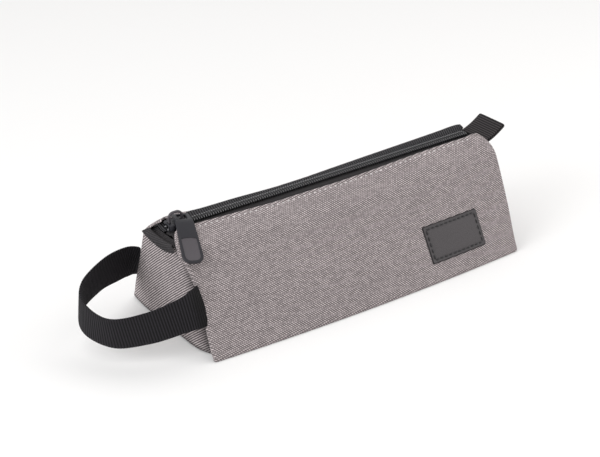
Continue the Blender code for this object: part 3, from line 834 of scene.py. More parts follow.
@dataclass(frozen=True)
class ThreadFinish(Finish):
    """Sewing thread with the twist of its plies."""

    patches: float = 90.0
    strength: float = 0.7
    specular: float = 0.5
    sheen: float = 0.1
    twist: float = 2600.0

    def pattern(self, wire: Wiring, place: Socket, shade: Socket) -> tuple[Socket, Socket]:
        """Twist the thread: its plies slant across the piece's own coordinates.

        Args:
            wire: The material's wiring.
            place: The piece's own coordinates.
            shade: The soft unevenness, near 1.

        Returns:
            The colour and the height of the relief.
        """
        x, y, z = wire.split(place)
        slant = wire.sum("MULTIPLY_ADD", y, 0.7, wire.sum("ADD", x, z))
        ply = wire.ridges(slant, self.twist * math.pi)
        return wire.tint(self.colour, wire.times(wire.ease(ply, 0.0, 0.7, 0.7, 1.05), shade)), ply


@dataclass(frozen=True)
class PaintedHighlightFinish(Finish):
    """Smooth nylon or satin paint, with a fine grain, and a painted highlight where the piece is marked.
    """

    # Painted highlight: where the mark is set, the colour blends towards the lighter one.
    rub: str = "rub"
    painted_light: Triple = (0.08, 0.072, 0.08)
    grain: tuple[float, float] = (1300.0, 3.0)

    def pattern(self, wire: Wiring, place: Socket, shade: Socket) -> tuple[Socket, Socket]:
        """Blend in the painted highlight's colour, over a grain of that scale and detail."""
        colour = wire.blend(wire.marked(self.rub), self.colour, self.painted_light)
        return wire.tint(colour, shade), wire.noise(place, *self.grain)


@dataclass(frozen=True)
class HideFinish(Finish):
    """Pressed hide with a fine pebble grain, and paint where the mark edge is 1."""

    patches: float = 70.0
    rough_swing: float = 0.08
    edge_colour: Triple = (0.012, 0.01, 0.011)

    def pattern(self, wire: Wiring, place: Socket, shade: Socket) -> tuple[Socket, Socket]:
        """Press pebbles into the hide and paint its cut edge.

        Args:
            wire: The material's wiring.
            place: The piece's own coordinates.
            shade: The soft unevenness, near 1.

        Returns:
            The colour and the height of the relief.
        """
        pores = wire.add("TexVoronoi", feature="DISTANCE_TO_EDGE")
        wire.feed(pores, {"Vector": place, "Scale": 1500.0})
        pebble = wire.ease(pores.outputs["Distance"], 0.0, 0.25, 0.0, 1.0)
        face = wire.tint(self.colour, wire.times(shade, wire.span(pebble, 0.86, 1.0)))
        colour = wire.blend(wire.marked("edge"), face, self.edge_colour)
        return colour, wire.sum("ADD", pebble, wire.noise(place, 500.0, 3.0))


class Wardrobe:
    """All the finishes of the case, each made once."""

    def __init__(self) -> None:
        """Make the two shared groups and every material."""
        make_twill()
        make_unevenness()
        light, dark = (0.54, 0.473, 0.476), (0.08, 0.070, 0.071)
        self.oxford = WovenFinish(
            "grey_oxford", light, 0.9, 0.12, second=dark, tone=0.4, sheen=0.06,
        ).build()
        # The end walls' cloth is the same oxford, painted lighter with its rows showing more, for how the
        # light falls on the ends.
        self.end_oxford_painted_lighter = WovenFinish(
            "grey_oxford_ends_painted_lighter", (0.58, 0.51, 0.515), 0.9, 0.12,
            second=dark, shares=(0.86, 0.1, 0.04), sheen=0.06,
        ).build()
        # The back tape is the same tape painted lighter than the front one, with rows across it, for its
        # sheen.
        self.back_tape = WovenFinish(
            "black_zip_tape_ribbed_painted_sheen", (0.062, 0.06, 0.065), 0.8, second=(0.006, 0.0055, 0.006),
            rows=(667.0, 0.0, 0.0), cuts=(0.0, 1700.0, 0.0), shares=(0.8, 0.12, 0.08),
        ).build()
        self.tape = WovenFinish(
            "black_zip_tape", (0.032, 0.029, 0.03), 0.8,
            rows=(1700.0, 0.0, 0.0), cuts=(0.0, 1700.0, 0.0), depth=0.00012,
        ).build()
        self.band = WovenFinish(
            "black_oxford", (0.05, 0.045, 0.048), 0.75, rows=(1000.0, -800.0, 0.0), depth=0.00014,
        ).build()
        self.webbing = WebbingFinish("black_ribbed_webbing", (0.0095, 0.0085, 0.0105), 0.75).build()
        # The tab's webbing is the loop's webbing painted lighter, for the light that falls on its top.
        self.tab_webbing = WebbingFinish("black_ribbed_tab_painted_lighter", (0.021, 0.0182, 0.0192), 0.75).build()
        self.grey_thread = ThreadFinish("grey_thread", (0.72, 0.685, 0.68), 0.65).build()
        self.black_thread = ThreadFinish("black_thread", (0.008, 0.007, 0.008), 0.6).build()
        # The coil's nylon: its lighter colour is a painted highlight on the loops' tops.
        self.nylon = PaintedHighlightFinish(
            "black_nylon_coil", (0.008, 0.008, 0.009), 0.4, patches=120.0, rough_swing=0.06, depth=0.00003,
            strength=0.5, rub="crest", painted_light=(0.3, 0.295, 0.305), grain=(3000.0, 1.0),
        ).build()
        # The metal's lighter colour is a painted highlight on the crown and on the floor of the pull's
        # recess.
        self.metal = PaintedHighlightFinish(
            "black_painted_metal", (0.02, 0.0195, 0.024), 0.4, 0.12, patches=140.0, rough_swing=0.07,
            depth=0.00004, strength=0.35, specular=0.22,
        ).build()
        self.hide = HideFinish("grey_hide", (0.08, 0.073, 0.076), 0.62).build()


def dress(
    item: bpy.types.Object, material: bpy.types.Material, node: str = "",
    body: str = "case",
) -> None:
    """Give a finished piece its material and its place in the frame.

    Args:
        item: The piece.
        material: Its finish.
        node: The CAD node that it stands for, if any.
        body: The CAD body that it rides on.
    """
    item.data.materials.append(material)
    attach(item, body)
    if node:
        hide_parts(node)
    LOG.info("%s: %d points on %s", item.name, len(item.data.vertices), body)


# Shell


@dataclass(frozen=True)
class Crease:
    """A soft fold in a panel, as a long bump that is deepest in the middle."""

    x: float
    down: float
    turn: float
    length: float
    width: float
    depth: float

    def lift(self, x: np.ndarray, down: np.ndarray) -> np.ndarray:
        """Return how far the cloth moves outwards.

        Args:
            x: Places along the case.
            down: Distances down the cloth.

        Returns:
            Depth times exp(-(a / length)^2 - (b / width)^2), with a along the fold and b across it.
        """
        cos, sin = math.cos(math.radians(self.turn)), math.sin(math.radians(self.turn))
        along = (x - self.x) * cos + (down - self.down) * sin
        across = (down - self.down) * cos - (x - self.x) * sin
        return self.depth * hump(along, 0.0, self.length) * hump(across, 0.0, self.width)


@dataclass(frozen=True)
class Ripple:
    """A slow wave in cloth."""

    height: float
    first_length: float
    second_length: float
    phase: float

    def lift(self, first: np.ndarray, second: np.ndarray) -> np.ndarray:
        """Return height * sin(2 pi (a / first length + b / second length) + phase) at places a and b."""
        turns = first / self.first_length + second / self.second_length
        return self.height * np.sin(TAU * turns + self.phase)


@dataclass(frozen=True)
class CaseForm:
    """The shape of the sewn shell, which everything sewn to it follows."""

    base_length: float = 0.208
    base_width: float = 0.094
    shoulder_height: float = 0.054
    shoulder_width: float = 0.038
    shoulder_radius: float = 0.012
    top_height: float = 0.0622
    zip_opening: float = 0.015
    end_lean: float = 0.003
    corner_cut: float = 0.0065
    side_bow: float = 0.0035
    end_bow: float = 0.0025
    fullness: float = 0.0012
    inset: Table = (
        (0.0, 0.0), (0.009, 0.0008), (0.017, 0.0021), (0.023, 0.0037), (0.031, 0.005), (0.039, 0.0044),
        (0.047, 0.0037), (0.051, 0.0023), (0.055, 0.0008), (0.06, 0.0),
    )
    swell: Table = (
        (0.0, -0.0013), (0.025, 0.0007), (0.044, 0.0016), (0.054, 0.0018), (0.0575, 0.0021),
        (0.06, 0.0006), (0.0625, -0.0028),
    )
    front_mouth: Table = (
        (-0.104, 0.0), (-0.088, 0.0001), (-0.063, -0.0009), (-0.04, -0.0018), (-0.017, -0.0018),
        (0.005, -0.002), (0.026, -0.0016), (0.047, -0.0008), (0.068, -0.0002), (0.08, 0.0), (0.097, 0.0),
        (0.102, 0.0013), (0.105, 0.0005), (0.108, -0.0015),
    )
    back_mouth: Table = (
        (-0.104, 0.0009), (-0.096, 0.0014), (-0.088, 0.0012), (-0.08, 0.0004), (-0.077, 0.0002),
        (-0.055, -0.0001), (-0.028, -0.0013), (-0.007, -0.0012), (0.006, -0.0007), (0.03, 0.0001),
        (0.058, 0.0008), (0.088, 0.0016), (0.1, 0.0023), (0.104, 0.0018), (0.108, -0.0002),
    )

    @property
    def lower_slope(self) -> float:
        """The angle of the lower slope above the ground."""
        return math.atan2(self.shoulder_height, (self.base_width - self.shoulder_width) / 2)

    @property
    def upper_slope(self) -> float:
        """The angle of the upper slope above the ground."""
        run = (self.shoulder_width - self.zip_opening) / 2
        return math.atan2(self.top_height - self.shoulder_height, run)

    def half_width(self, height: np.ndarray) -> np.ndarray:
        """Return the section's half width at a height: the lesser of the two slopes' own lines.

        Args:
            height: Heights.

        Returns:
            Half widths.
        """
        lower = self.base_width / 2 - height / math.tan(self.lower_slope)
        above = height - self.shoulder_height
        upper = self.shoulder_width / 2 - above / math.tan(self.upper_slope)
        return np.minimum(lower, upper)

    def reach(self, height: np.ndarray, end: float | np.ndarray, across: float | np.ndarray) -> np.ndarray:
        """Return how far the shell reaches along X.

        It leans out as it rises to the shoulder. At the left end it is cut back above the shoulder and its
        front seam is drawn in at mid height. At the right end the seams stand out round the shoulder.

        Args:
            height: Heights.
            end: The sign of X.
            across: From -1 at the front seam to 1 at the back seam.

        Returns:
            Distances from the middle of the case.
        """
        lean = self.end_lean * np.clip(height / self.shoulder_height, 0.0, 1.0)
        start = self.shoulder_height - 0.002
        above = np.clip((height - start) / (self.top_height - start), 0.0, 1.0)
        across = np.clip(across, -1.0, 1.0)
        drawn = soft_line(self.inset, height, 0.003) * ((1.0 - across) / 2) ** 1.6
        stood = soft_line(self.swell, height, 0.0008) * across**2
        at_left = (1.0 - np.sign(end)) / 2
        shape = at_left * (-self.corner_cut * above**1.5 - drawn) + (1.0 - at_left) * stood
        return self.base_length / 2 + lean + shape

    def mouth(self, x: np.ndarray, side: Side) -> np.ndarray:
        """Return how far the slack edge of a panel stands above its straight line at x, or hangs below."""
        return soft_line(self.front_mouth if side is Side.FRONT else self.back_mouth, x, 0.004)

    def dip(self, x: np.ndarray) -> np.ndarray:
        """Return how far the zip bends down near its two ends, eased in over the last stretch."""
        return np.where(x > 0.0, 0.0017 * smooth(x, 0.0985, 0.1062), 0.0011 * smooth(-x, 0.0975, 0.1032))


class Section(NamedTuple):
    """A panel's section, with the angle of its outward normal and the distance along the cloth."""

    width: np.ndarray
    height: np.ndarray
    angle: np.ndarray
    along: np.ndarray


@dataclass(frozen=True)
class LongPanel:
    """A long panel: one cloth from its turned edge at the zip, over the shoulder, down and round the foot.

    Setback and tuck draw its edge and its ends in. Brow is how far its edge climbs at the left end.
    """

    form: CaseForm
    side: Side
    creases: tuple[Crease, ...]
    cloth: float = 0.0006
    fold: float = 0.00065
    allowance: float = 0.007
    foot: float = 0.0015
    under: float = 0.005
    under_tuck: float = 0.0042
    roll: float = 0.0013
    setback: float = 0.0
    tuck: float = 0.0
    brow: float = 0.0
    columns: int = 240
    stitch_down: float = 0.0013
    stitch_pitch: float = 0.0035
    stitch_length: float = 0.0026
    stitch_margin: float = 0.0068
    thread: float = 0.0008
    turn_steps: int = 6
    stitch_dip: float = 0.00022
    dip_width: float = 0.0007
    swell_below: float = 0.0022
    swell_height: float = 0.00008
    swell_width: float = 0.0012

    @cached_property
    def section(self) -> Section:
        """Follow the section from the inside of the turned edge to the ground.

        The outward normal's angle falls all the way. A straight stretch moves along
        (sin(angle), -cos(angle)), and a turn moves round the centre point - normal * radius.

        Returns:
            The lines of the section.
        """
        form = self.form
        up_angle = math.pi / 2 - form.upper_slope
        low_angle = math.pi / 2 - form.lower_slope
        turn = up_angle - low_angle
        setback = form.shoulder_radius * math.tan(turn / 2)
        rise = form.top_height - form.shoulder_height
        across = (form.shoulder_width - form.zip_opening) / 2
        upper = math.hypot(across, rise) - setback - self.fold - self.setback
        foot_height = self.foot * (1 + math.sin(low_angle))
        lower = (form.shoulder_height - foot_height) / math.sin(form.lower_slope) - setback
        edge = np.array([form.zip_opening / 2, form.top_height])
        down = np.array([math.sin(up_angle), -math.cos(up_angle)])
        out = np.array([math.cos(up_angle), math.sin(up_angle)])
        point = edge + down * (self.setback + self.fold + self.allowance) - 2 * self.fold * out
        moves = [
            (self.allowance, 0.0, 5),
            (self.fold, math.pi, 9),
            (upper, 0.0, 20),
            (form.shoulder_radius, turn, 8),
            (lower, 0.0, 42),
            (self.foot, low_angle + math.pi / 2, 9),
            (self.under, 0.0, 6),
        ]
        angle = up_angle + math.pi
        rows = [[*point, angle, 0.0]]
        for size, bend, steps in moves:
            shares = np.arange(1, steps + 1) / steps
            turned = angle - bend * shares
            run = size * bend if bend else size
            if bend:
                centre = point - size * np.array([math.cos(angle), math.sin(angle)])
                new = centre + size * grid(np.cos(turned), np.sin(turned))
            else:
                new = point + np.outer(shares * size, [math.sin(angle), -math.cos(angle)])
            rows.extend(np.column_stack([new, turned, rows[-1][3] + run * shares]))
            point, angle = new[-1], turned[-1]
        return Section(*np.array(rows).T)

    @property
    def edge_along(self) -> float:
        """The distance along the cloth at which its outer face begins."""
        return self.allowance + math.pi * self.fold

    def place(self, x: np.ndarray, along: np.ndarray, lift: np.ndarray | float = 0.0) -> np.ndarray:
        """Return points of the panel.

        Args:
            x: Places along the case.
            along: Distances along the cloth from the inside of the turned edge.
            lift: Distances outwards from the cloth.

        Returns:
            Points: the section at that distance, bowed out towards the middle of the case, following the
            line of the mouth above, with the creases added along its normal. At the left end the edge
            climbs towards the zip by the brow.
        """
        form, section = self.form, self.section
        width, height, angle = (np.interp(along, section.along, line) for line in section[:3])
        past_end = smooth(x, -0.093, -0.082)
        below_edge = smooth(along - self.edge_along, 0.0, 0.012)
        climb = self.brow * (1.0 - past_end) * (1.0 - below_edge)
        width = width - climb * math.cos(form.upper_slope)
        height = height + climb * math.sin(form.upper_slope)
        fade = np.clip(1.0 - (x / form.reach(height, np.sign(x), self.side.value)) ** 2, 0.0, 1.0)
        level = np.clip(height / form.shoulder_height, 0.0, 1.0)
        out = width + form.side_bow * fade * (1.0 - level) + form.fullness * fade * np.sin(math.pi * level)
        rise = form.mouth(x, self.side) * smooth(height, 0.034, form.top_height - 0.002)
        lift = lift + self.soft(x, along)
        out = out - 0.3 * np.minimum(rise, 0.0) + lift * np.cos(angle)
        return grid(x, self.side.value * out, height + rise + lift * np.sin(angle))

    def soft(self, x: np.ndarray, along: np.ndarray) -> np.ndarray:
        """Return the softness of the cloth: creases, slow waves, a dip along the stitches, a swell below.

        Args:
            x: Places along the case.
            along: Distances along the cloth.

        Returns:
            Distances outwards.
        """
        start, total = self.edge_along, self.section.along[-1]
        waves = (
            Ripple(0.00028, 0.083, 0.06 / 0.35, 0.6),
            Ripple(0.0002, 0.047, -0.05 / 0.6, 2.1 * self.side.value),
        )
        bumps = sum(wave.lift(x, along) for wave in waves)
        bumps = bumps + sum(fold.lift(x, along - start) for fold in self.creases)
        free = smooth(along, start + 0.003, start + 0.016)
        free = free * (1.0 - smooth(along, total - 0.02, total - 0.008))
        row = start + self.stitch_down
        dip = hump(along, row, self.dip_width) * (0.7 + 0.3 * np.cos(TAU * x / self.stitch_pitch))
        swell = self.swell_height * hump(along, row + self.swell_below, self.swell_width)
        return free * bumps - self.stitch_dip * dip + swell

    def build(self, wardrobe: Wardrobe) -> None:
        """Make the cloth, rolled in at both ends, then the row of stitches below its turned edge.

        Args:
            wardrobe: The finishes of the case.
        """
        form, word, edge = self.form, self.side.word, self.edge_along
        shares, angles = rolled(self.columns, self.turn_steps)
        along, total = self.section.along[:, None], self.section.along[-1]
        height = np.where(along < edge, form.top_height, self.section.height[:, None])
        reach = form.reach(height, np.sign(shares), self.side.value) - self.tuck
        reach = reach - self.under_tuck * smooth(along, total - 0.0066, total - 0.004)
        roll = self.roll * (1.0 - 0.35 * smooth(along, total - 0.012, total - 0.008))
        outside = smooth(along, edge - 0.0012, edge + 0.001)
        x = shares * (reach - roll) + (0.25 + 0.75 * outside) * roll * np.sin(angles)
        points = self.place(x, along, -outside * roll * (1.0 - np.cos(angles)))
        item = sheet(word + "_cloth", points, grid(x, along + 0.013), self.cloth, self.side is Side.BACK)
        dress(item, wardrobe.oxford, word + "_panel")
        self.sew(word, wardrobe)

    def sew(self, word: str, wardrobe: Wardrobe) -> None:
        """Make the row of stitches below the turned edge.

        Args:
            word: The first word of the piece's name.
            wardrobe: The finishes of the case.
        """
        end, small = self.form.base_length / 2 - self.stitch_margin, 0.0004
        x = np.arange(-end, end, self.stitch_pitch)
        along = np.full_like(x, self.edge_along + self.stitch_down)
        ahead = self.place(x + small, along) - self.place(x - small, along)
        down = self.place(x, along + small) - self.place(x, along - small)
        normal = np.cross(ahead, down)
        normal = np.where(normal[:, 2:] < 0.0, -normal, normal)
        centre = self.place(x, along, 0.0002)
        row = stitches(word + "_top_stitches", centre, ahead, normal, self.stitch_length, self.thread)
        dress(row, wardrobe.grey_thread)


@dataclass(frozen=True)
class EndWall:
    """An end wall, set back a little between the rolled ends of the long panels."""

    form: CaseForm
    end: End
    recess: float = 0.0007
    front_seam: float = 0.0014
    back_seam: float = 0.0003
    valley: float = 0.003
    roll: float = 0.001
    above_ground: float = 0.0004
    under_band: float = 0.0017
    cloth: float = 0.0006
    rows: int = 56
    columns: int = 60
    turn_steps: int = 5
    valley_from: float = 0.62
    valley_closes: tuple[float, float] = (0.042, 0.052)
    foot_darkening: float = 0.8
    foot_darkening_height: tuple[float, float] = (0.0005, 0.004)

    def build(self, wardrobe: Wardrobe) -> None:
        """Make the wall.

        Its height and its width are shares of the way across, and it turns inwards round a quarter circle
        at both sides and at the foot. Along the front seam it sinks into a valley, and the mark seam
        paints shade into that valley; it also darkens the cloth towards the foot.

        Args:
            wardrobe: The finishes of the case.
        """
        form, sign, steps = self.form, self.end.value, self.turn_steps
        shares, angles = rolled(self.columns, steps)
        levels, dips = (part[:-steps, None] for part in rolled(self.rows, steps))
        bottom, top = self.above_ground + self.roll, form.shoulder_height + self.under_band
        heights = np.interp(levels, (-1.0, 1.0), (bottom, top))
        height = heights + self.roll * np.sin(dips)
        seam = np.where(shares < 0.0, self.front_seam, self.back_seam) / math.sin(form.lower_slope)
        edge = form.half_width(heights) - seam - self.roll
        y = shares * edge + self.roll * np.sin(angles)
        across = y / (edge + self.roll)
        bow = form.end_bow * (1.0 - across**2) * np.clip(1.0 - height / form.shoulder_height, 0.0, 1.0)
        open_height = 1.0 - smooth(height, *self.valley_closes)
        sunk = self.roll * (2.0 - np.cos(angles) - np.cos(dips))
        sunk = sunk + self.recess * (1.0 - smooth(across, 0.0, 1.0))
        sunk = sunk + self.valley * smooth(-across, self.valley_from, 1.0) * open_height
        x = form.reach(height, sign, across) + bow - sunk + self.soft(across, y, height)
        points, uv = grid(sign * x, y, height), grid(height, sign * y)
        item = sheet(self.end.word + "_wall_cloth", points, uv, self.cloth, self.end is End.LEFT)
        # Painted shade in the valley beside the front seam, less towards the top; the mark is also darker
        # towards the foot.
        painted_seam_shade = smooth(-across, self.valley_from, 0.96) * (0.4 + 0.6 * open_height)
        low, high = self.foot_darkening_height
        mark(item, "seam", np.maximum(painted_seam_shade, self.foot_darkening * smooth(-height, -high, -low)).ravel())
        dress(item, wardrobe.end_oxford_painted_lighter, self.end.word + "_end_wall")

    def soft(self, across: np.ndarray, y: np.ndarray, height: np.ndarray) -> np.ndarray:
        """Return the softness of the cloth: it is hollow below the band and full near the foot.

        Args:
            across: Shares of the half width.
            y: Places across the wall.
            height: Heights.

        Returns:
            Distances outwards.
        """
        level = np.clip(height / self.form.shoulder_height, 0.0, 1.0)
        full = 0.0012 * np.sin(math.pi * level) ** 2 - 0.0008 * smooth(level, 0.7, 1.0)
        return (full + Ripple(0.00025, 0.031, 0.045, 0.4).lift(y, height)) * (1.0 - across**2)


@dataclass(frozen=True)
class Base:
    """The base cloth, between the long panels' turned feet, with its edges rolled up into the seams."""

    form: CaseForm
    side_gap: float = 0.0053
    end_gap: float = 0.0026
    above_ground: float = 0.0001
    roll: float = 0.001
    cloth: float = 0.0006
    rows: int = 40
    columns: int = 90
    turn_steps: int = 5

    def build(self, wardrobe: Wardrobe) -> None:
        """Make the base: it lies just off the ground and turns up round a quarter circle at its edges.

        Args:
            wardrobe: The finishes of the case.
        """
        form = self.form
        along, bend_x = rolled(self.columns, self.turn_steps)
        side, bend_y = (part[:, None] for part in rolled(self.rows, self.turn_steps))
        half_length = form.base_length / 2 - self.end_gap
        x = along * (half_length - self.roll) + self.roll * np.sin(bend_x)
        x = x + form.end_bow * (1.0 - side**2) * along
        bow = form.side_bow * np.clip(1.0 - (x / half_length) ** 2, 0.0, 1.0)
        half_width = form.base_width / 2 - self.side_gap + bow
        y = side * (half_width - self.roll) + self.roll * np.sin(bend_y)
        z = self.above_ground + self.roll * (2.0 - np.cos(bend_x) - np.cos(bend_y))
        item = sheet("base_cloth", grid(x, y, z), grid(x, y), self.cloth, flip=True)
        dress(item, wardrobe.oxford, "base_panel")


@dataclass(frozen=True)
class EndBand:
    """The black band that is folded over at the end of the zip, above the end wall.

    A row is a distance beyond the shoulder's reach, a height above it, a trim of the half width and the
    share of the lap's own line that it takes. The rows go from the lap on the wall, over the crease and
    down under the tapes' ends.
    """

    form: CaseForm
    end: End
    cloth: float = 0.0007
    columns: int = 36
    lap_sag: float = 0.0024
    lap_rise: float = 0.0014
    slack: float = 0.0006
    rows: tuple[tuple[float, float, float, float], ...] = (
        (0.0010, 0.0000, 0.0001, 1.0),
        (0.0013, 0.0009, 0.0000, 0.7),
        (0.0013, 0.0019, -0.0002, 0.4),
        (0.0009, 0.0030, -0.0004, 0.15),
        (0.0000, 0.0037, -0.0007, 0.0),
        (-0.0010, 0.0034, -0.0011, 0.0),
        (-0.0019, 0.0022, -0.0016, 0.0),
        (-0.0029, 0.0019, -0.0019, 0.0),
        (-0.0039, 0.0030, -0.0020, 0.0),
        (-0.0046, 0.0038, -0.0020, 0.0),
    )

    def build(self, wardrobe: Wardrobe) -> None:
        """Make the band: a smooth curve through the rows, with a lap that hangs lowest in its middle.

        Args:
            wardrobe: The finishes of the case.
        """
        form = self.form
        fine = curve_through(np.array(self.rows), 44)
        out, above, trim, lapped = (column[:, None] for column in fine.T)
        share = np.linspace(-1.0, 1.0, self.columns)
        lap = self.lap_rise * np.minimum(share, 0.0) ** 2 - self.lap_sag * (1.0 - share**2)
        slack = self.slack * (1.0 - share**2) * smooth(above, 0.0015, 0.0035)
        rise = above + lap * lapped
        y = share * (form.half_width(form.shoulder_height + rise) + trim)
        reach = form.base_length / 2 + form.end_lean
        x = reach + out - self.slack * share**4 * smooth(rise, -0.001, 0.002)
        points = grid(self.end.value * x, y, form.shoulder_height + rise - slack)
        uv = grid(y, run_length(fine[:, :2])[:, None])
        item = sheet(self.end.word + "_band_cloth", points, uv, self.cloth, self.end is End.LEFT)
        dress(item, wardrobe.band, self.end.word + "_zip_end_band")


@dataclass(frozen=True)
class SeamBinding:
    """The folded tape that binds an end seam inside the case."""

    form: CaseForm
    end: End
    width: float = 0.005
    thickness: float = 0.00135
    inset: float = 0.0029
    behind_wall: float = 0.0025
    low: float = 0.0036
    high: float = 0.0415
    corner: float = 0.003
    corner_run: float = 0.0048

    def build(self, wardrobe: Wardrobe) -> None:
        """Make the binding: a flattened ring along the foot and up inside the front and the back seam.

        Args:
            wardrobe: The finishes of the case.
        """
        form, sign = self.form, self.end.value
        foot = form.base_width / 2 - self.inset / math.sin(form.lower_slope)
        turned = self.low + self.corner
        sides = [(foot - height / math.tan(form.lower_slope), height) for height in (self.high, turned)]
        sides.append((foot - self.corner_run, self.low))
        line = resample(np.array([(-y, z) for y, z in sides] + sides[::-1]), 120)
        reach = form.reach(line[:, 1], sign, line[:, 0] / foot) - self.behind_wall - self.width / 2
        centre = grid(sign * reach, line[:, 0], line[:, 1])
        along = everywhere(ALONG, centre)
        ring = oval(self.width, self.thickness, 18, 3.0)
        points = carried(centre, along, unit(np.cross(heading(centre), along)), ring)
        uv = grid(run_length(centre)[:, None], np.linspace(0.0, 2 * self.width, len(ring) + 1))
        item = surface(self.end.word + "_binding_tape", points, uv, tube=True)
        dress(item, wardrobe.tape, self.end.word + "_seam_binding")


# Zip


@dataclass(frozen=True)
class ZipTape:
    """One tape of the zip: flat beside the coil, then tucked down behind its panel.

    The back tape humps up to its ridge first, and that hump fades towards the slider.
    """

    form: CaseForm
    side: Side
    middle: float = 0.0601
    cloth: float = 0.0005
    under: float = 0.002
    ridge: float = 0.0076
    guide_line: float = 0.0046
    guide_height: float = 0.00012
    guide_width: float = 0.00035
    columns: int = 130
    end_gap: float = 0.0008
    front_widths: tuple[float, ...] = (0.0011, 0.003, 0.0042, 0.0054, 0.0068, 0.0085, 0.0105, 0.013)
    back_widths: tuple[float, ...] = (0.0011, 0.003, 0.0044, 0.006, 0.0076, 0.0086, 0.0094, 0.011, 0.0135)

    def build(self, wardrobe: Wardrobe) -> None:
        """Make the tape: smooth curves through a few widths, with a height at each that changes along X.

        The slope is the line under the panel: the panel's outer line, less its thickness. The front tape
        leaves the flat where it meets the slope.

        Args:
            wardrobe: The finishes of the case.
        """
        form, back, word = self.form, self.side is Side.BACK, self.side.word
        half = form.base_length / 2 - self.end_gap
        x = np.linspace(-half, half, self.columns)
        mouth = form.mouth(x, self.side)
        fall = math.tan(form.upper_slope)
        widths = np.array(self.back_widths if back else self.front_widths)[:, None]
        slope = form.top_height - fall * (widths - form.zip_opening / 2) + mouth - self.under
        height = np.minimum(slope, self.middle)
        if back:
            share = smooth(widths, 0.003, self.ridge) * smooth(x, -0.093, -0.083)
            crest = form.top_height - fall * (self.ridge - form.zip_opening / 2) + mouth
            height = np.where(widths <= self.ridge, self.middle + (crest - self.middle) * share, slope)
        fine = curve_through(grid(widths, height), 40)
        y, z = fine[..., 0], fine[..., 1] - form.dip(x) * (1.0 - smooth(fine[..., 0], 0.004, 0.008))
        z = z + self.guide_height * hump(y, self.guide_line, self.guide_width)
        points = grid(x, self.side.value * y, z)
        item = sheet(word + "_tape_cloth", points, grid(x, y), self.cloth, back, offset=0.0)
        dress(item, wardrobe.back_tape if back else wardrobe.tape, word + "_zip_tape")


@dataclass(frozen=True)
class ZipCoil:
    """One side of the coil: a nylon thread wound into flat loops, sewn down with two rows of thread."""

    form: CaseForm
    side: Side
    pitch: float = 0.0015
    wire: float = 0.00058
    outer: float = 0.00275
    reach: float = 0.0006
    low: float = 0.0607
    high: float = 0.0626
    closed_from: float = -0.0955
    parted: float = 0.0014
    end_gap: float = 0.0014
    steps: int = 18
    stitch_rows: tuple[float, float] = (0.00125, 0.00205)
    stitch_sink: float = 0.00012
    thread: float = 0.0003

    def build(self, wardrobe: Wardrobe) -> None:
        """Make the loops, then the two rows of thread that hold them."""
        self.wind(wardrobe)
        self.sew(wardrobe)

    def wind(self, wardrobe: Wardrobe) -> None:
        """Make the loops.

        At angle a the thread is at pitch * a / (2 pi) along the case. Across and up it follows an oval,
        cos(a) and sin(a), squared off to the power 0.7, from the outside of the coil to just past the
        middle. Behind the slider's wedge the loops stop short of the middle.

        Args:
            wardrobe: The finishes of the case.
        """
        half = self.form.base_length / 2 - self.end_gap
        turns = int(2 * half / self.pitch)
        angle = np.arange(turns * self.steps + 1) * TAU / self.steps
        shift = 0.0 if self.side is Side.FRONT else self.pitch / 2
        x = -half + shift + self.pitch * angle / TAU
        head = np.where(x < self.closed_from, self.parted, -self.reach)
        bend = grid(np.cos(angle), np.sin(angle))
        bend = np.sign(bend) * np.abs(bend) ** 0.7
        y = (self.outer + head) / 2 + (self.outer - head - self.wire) / 2 * bend[:, 0]
        z = (self.low + self.high) / 2 + (self.high - self.low - self.wire) / 2 * bend[:, 1]
        z = z - self.form.dip(x)
        path = grid(x, self.side.value * y, z)
        tangent = heading(path)
        upward = unit(np.cross(tangent, everywhere(ALONG, path)))
        points = carried(path, np.cross(upward, tangent), upward, oval(self.wire, self.wire, 7))
        item = surface(self.side.word + "_coil_loops", points, tube=True, flip=True)
        # Painted highlight on the top of each loop, stored as the mark crest.
        crest = smooth(bend[:, 1], 0.3, 0.9) * smooth(np.abs(y), 0.0006, 0.0011)
        mark(item, "crest", np.repeat(crest, points.shape[1]))
        dress(item, wardrobe.nylon, self.side.word + "_zip_coil")

    def sew(self, wardrobe: Wardrobe) -> None:
        """Make the rows of thread, one stitch to each loop, sunk between the loops.

        Args:
            wardrobe: The finishes of the case.
        """
        half = self.form.base_length / 2 - 2 * self.pitch
        x = np.arange(-half, half, self.pitch)
        z = self.high - self.form.dip(x) - self.stitch_sink
        centres = np.concatenate([grid(x, self.side.value * y, z) for y in self.stitch_rows])
        directions = everywhere(ALONG, centres), everywhere(UP, centres)
        name = self.side.word + "_coil_stitches"
        dress(stitches(name, centres, *directions, self.pitch * 0.96, self.thread), wardrobe.black_thread)


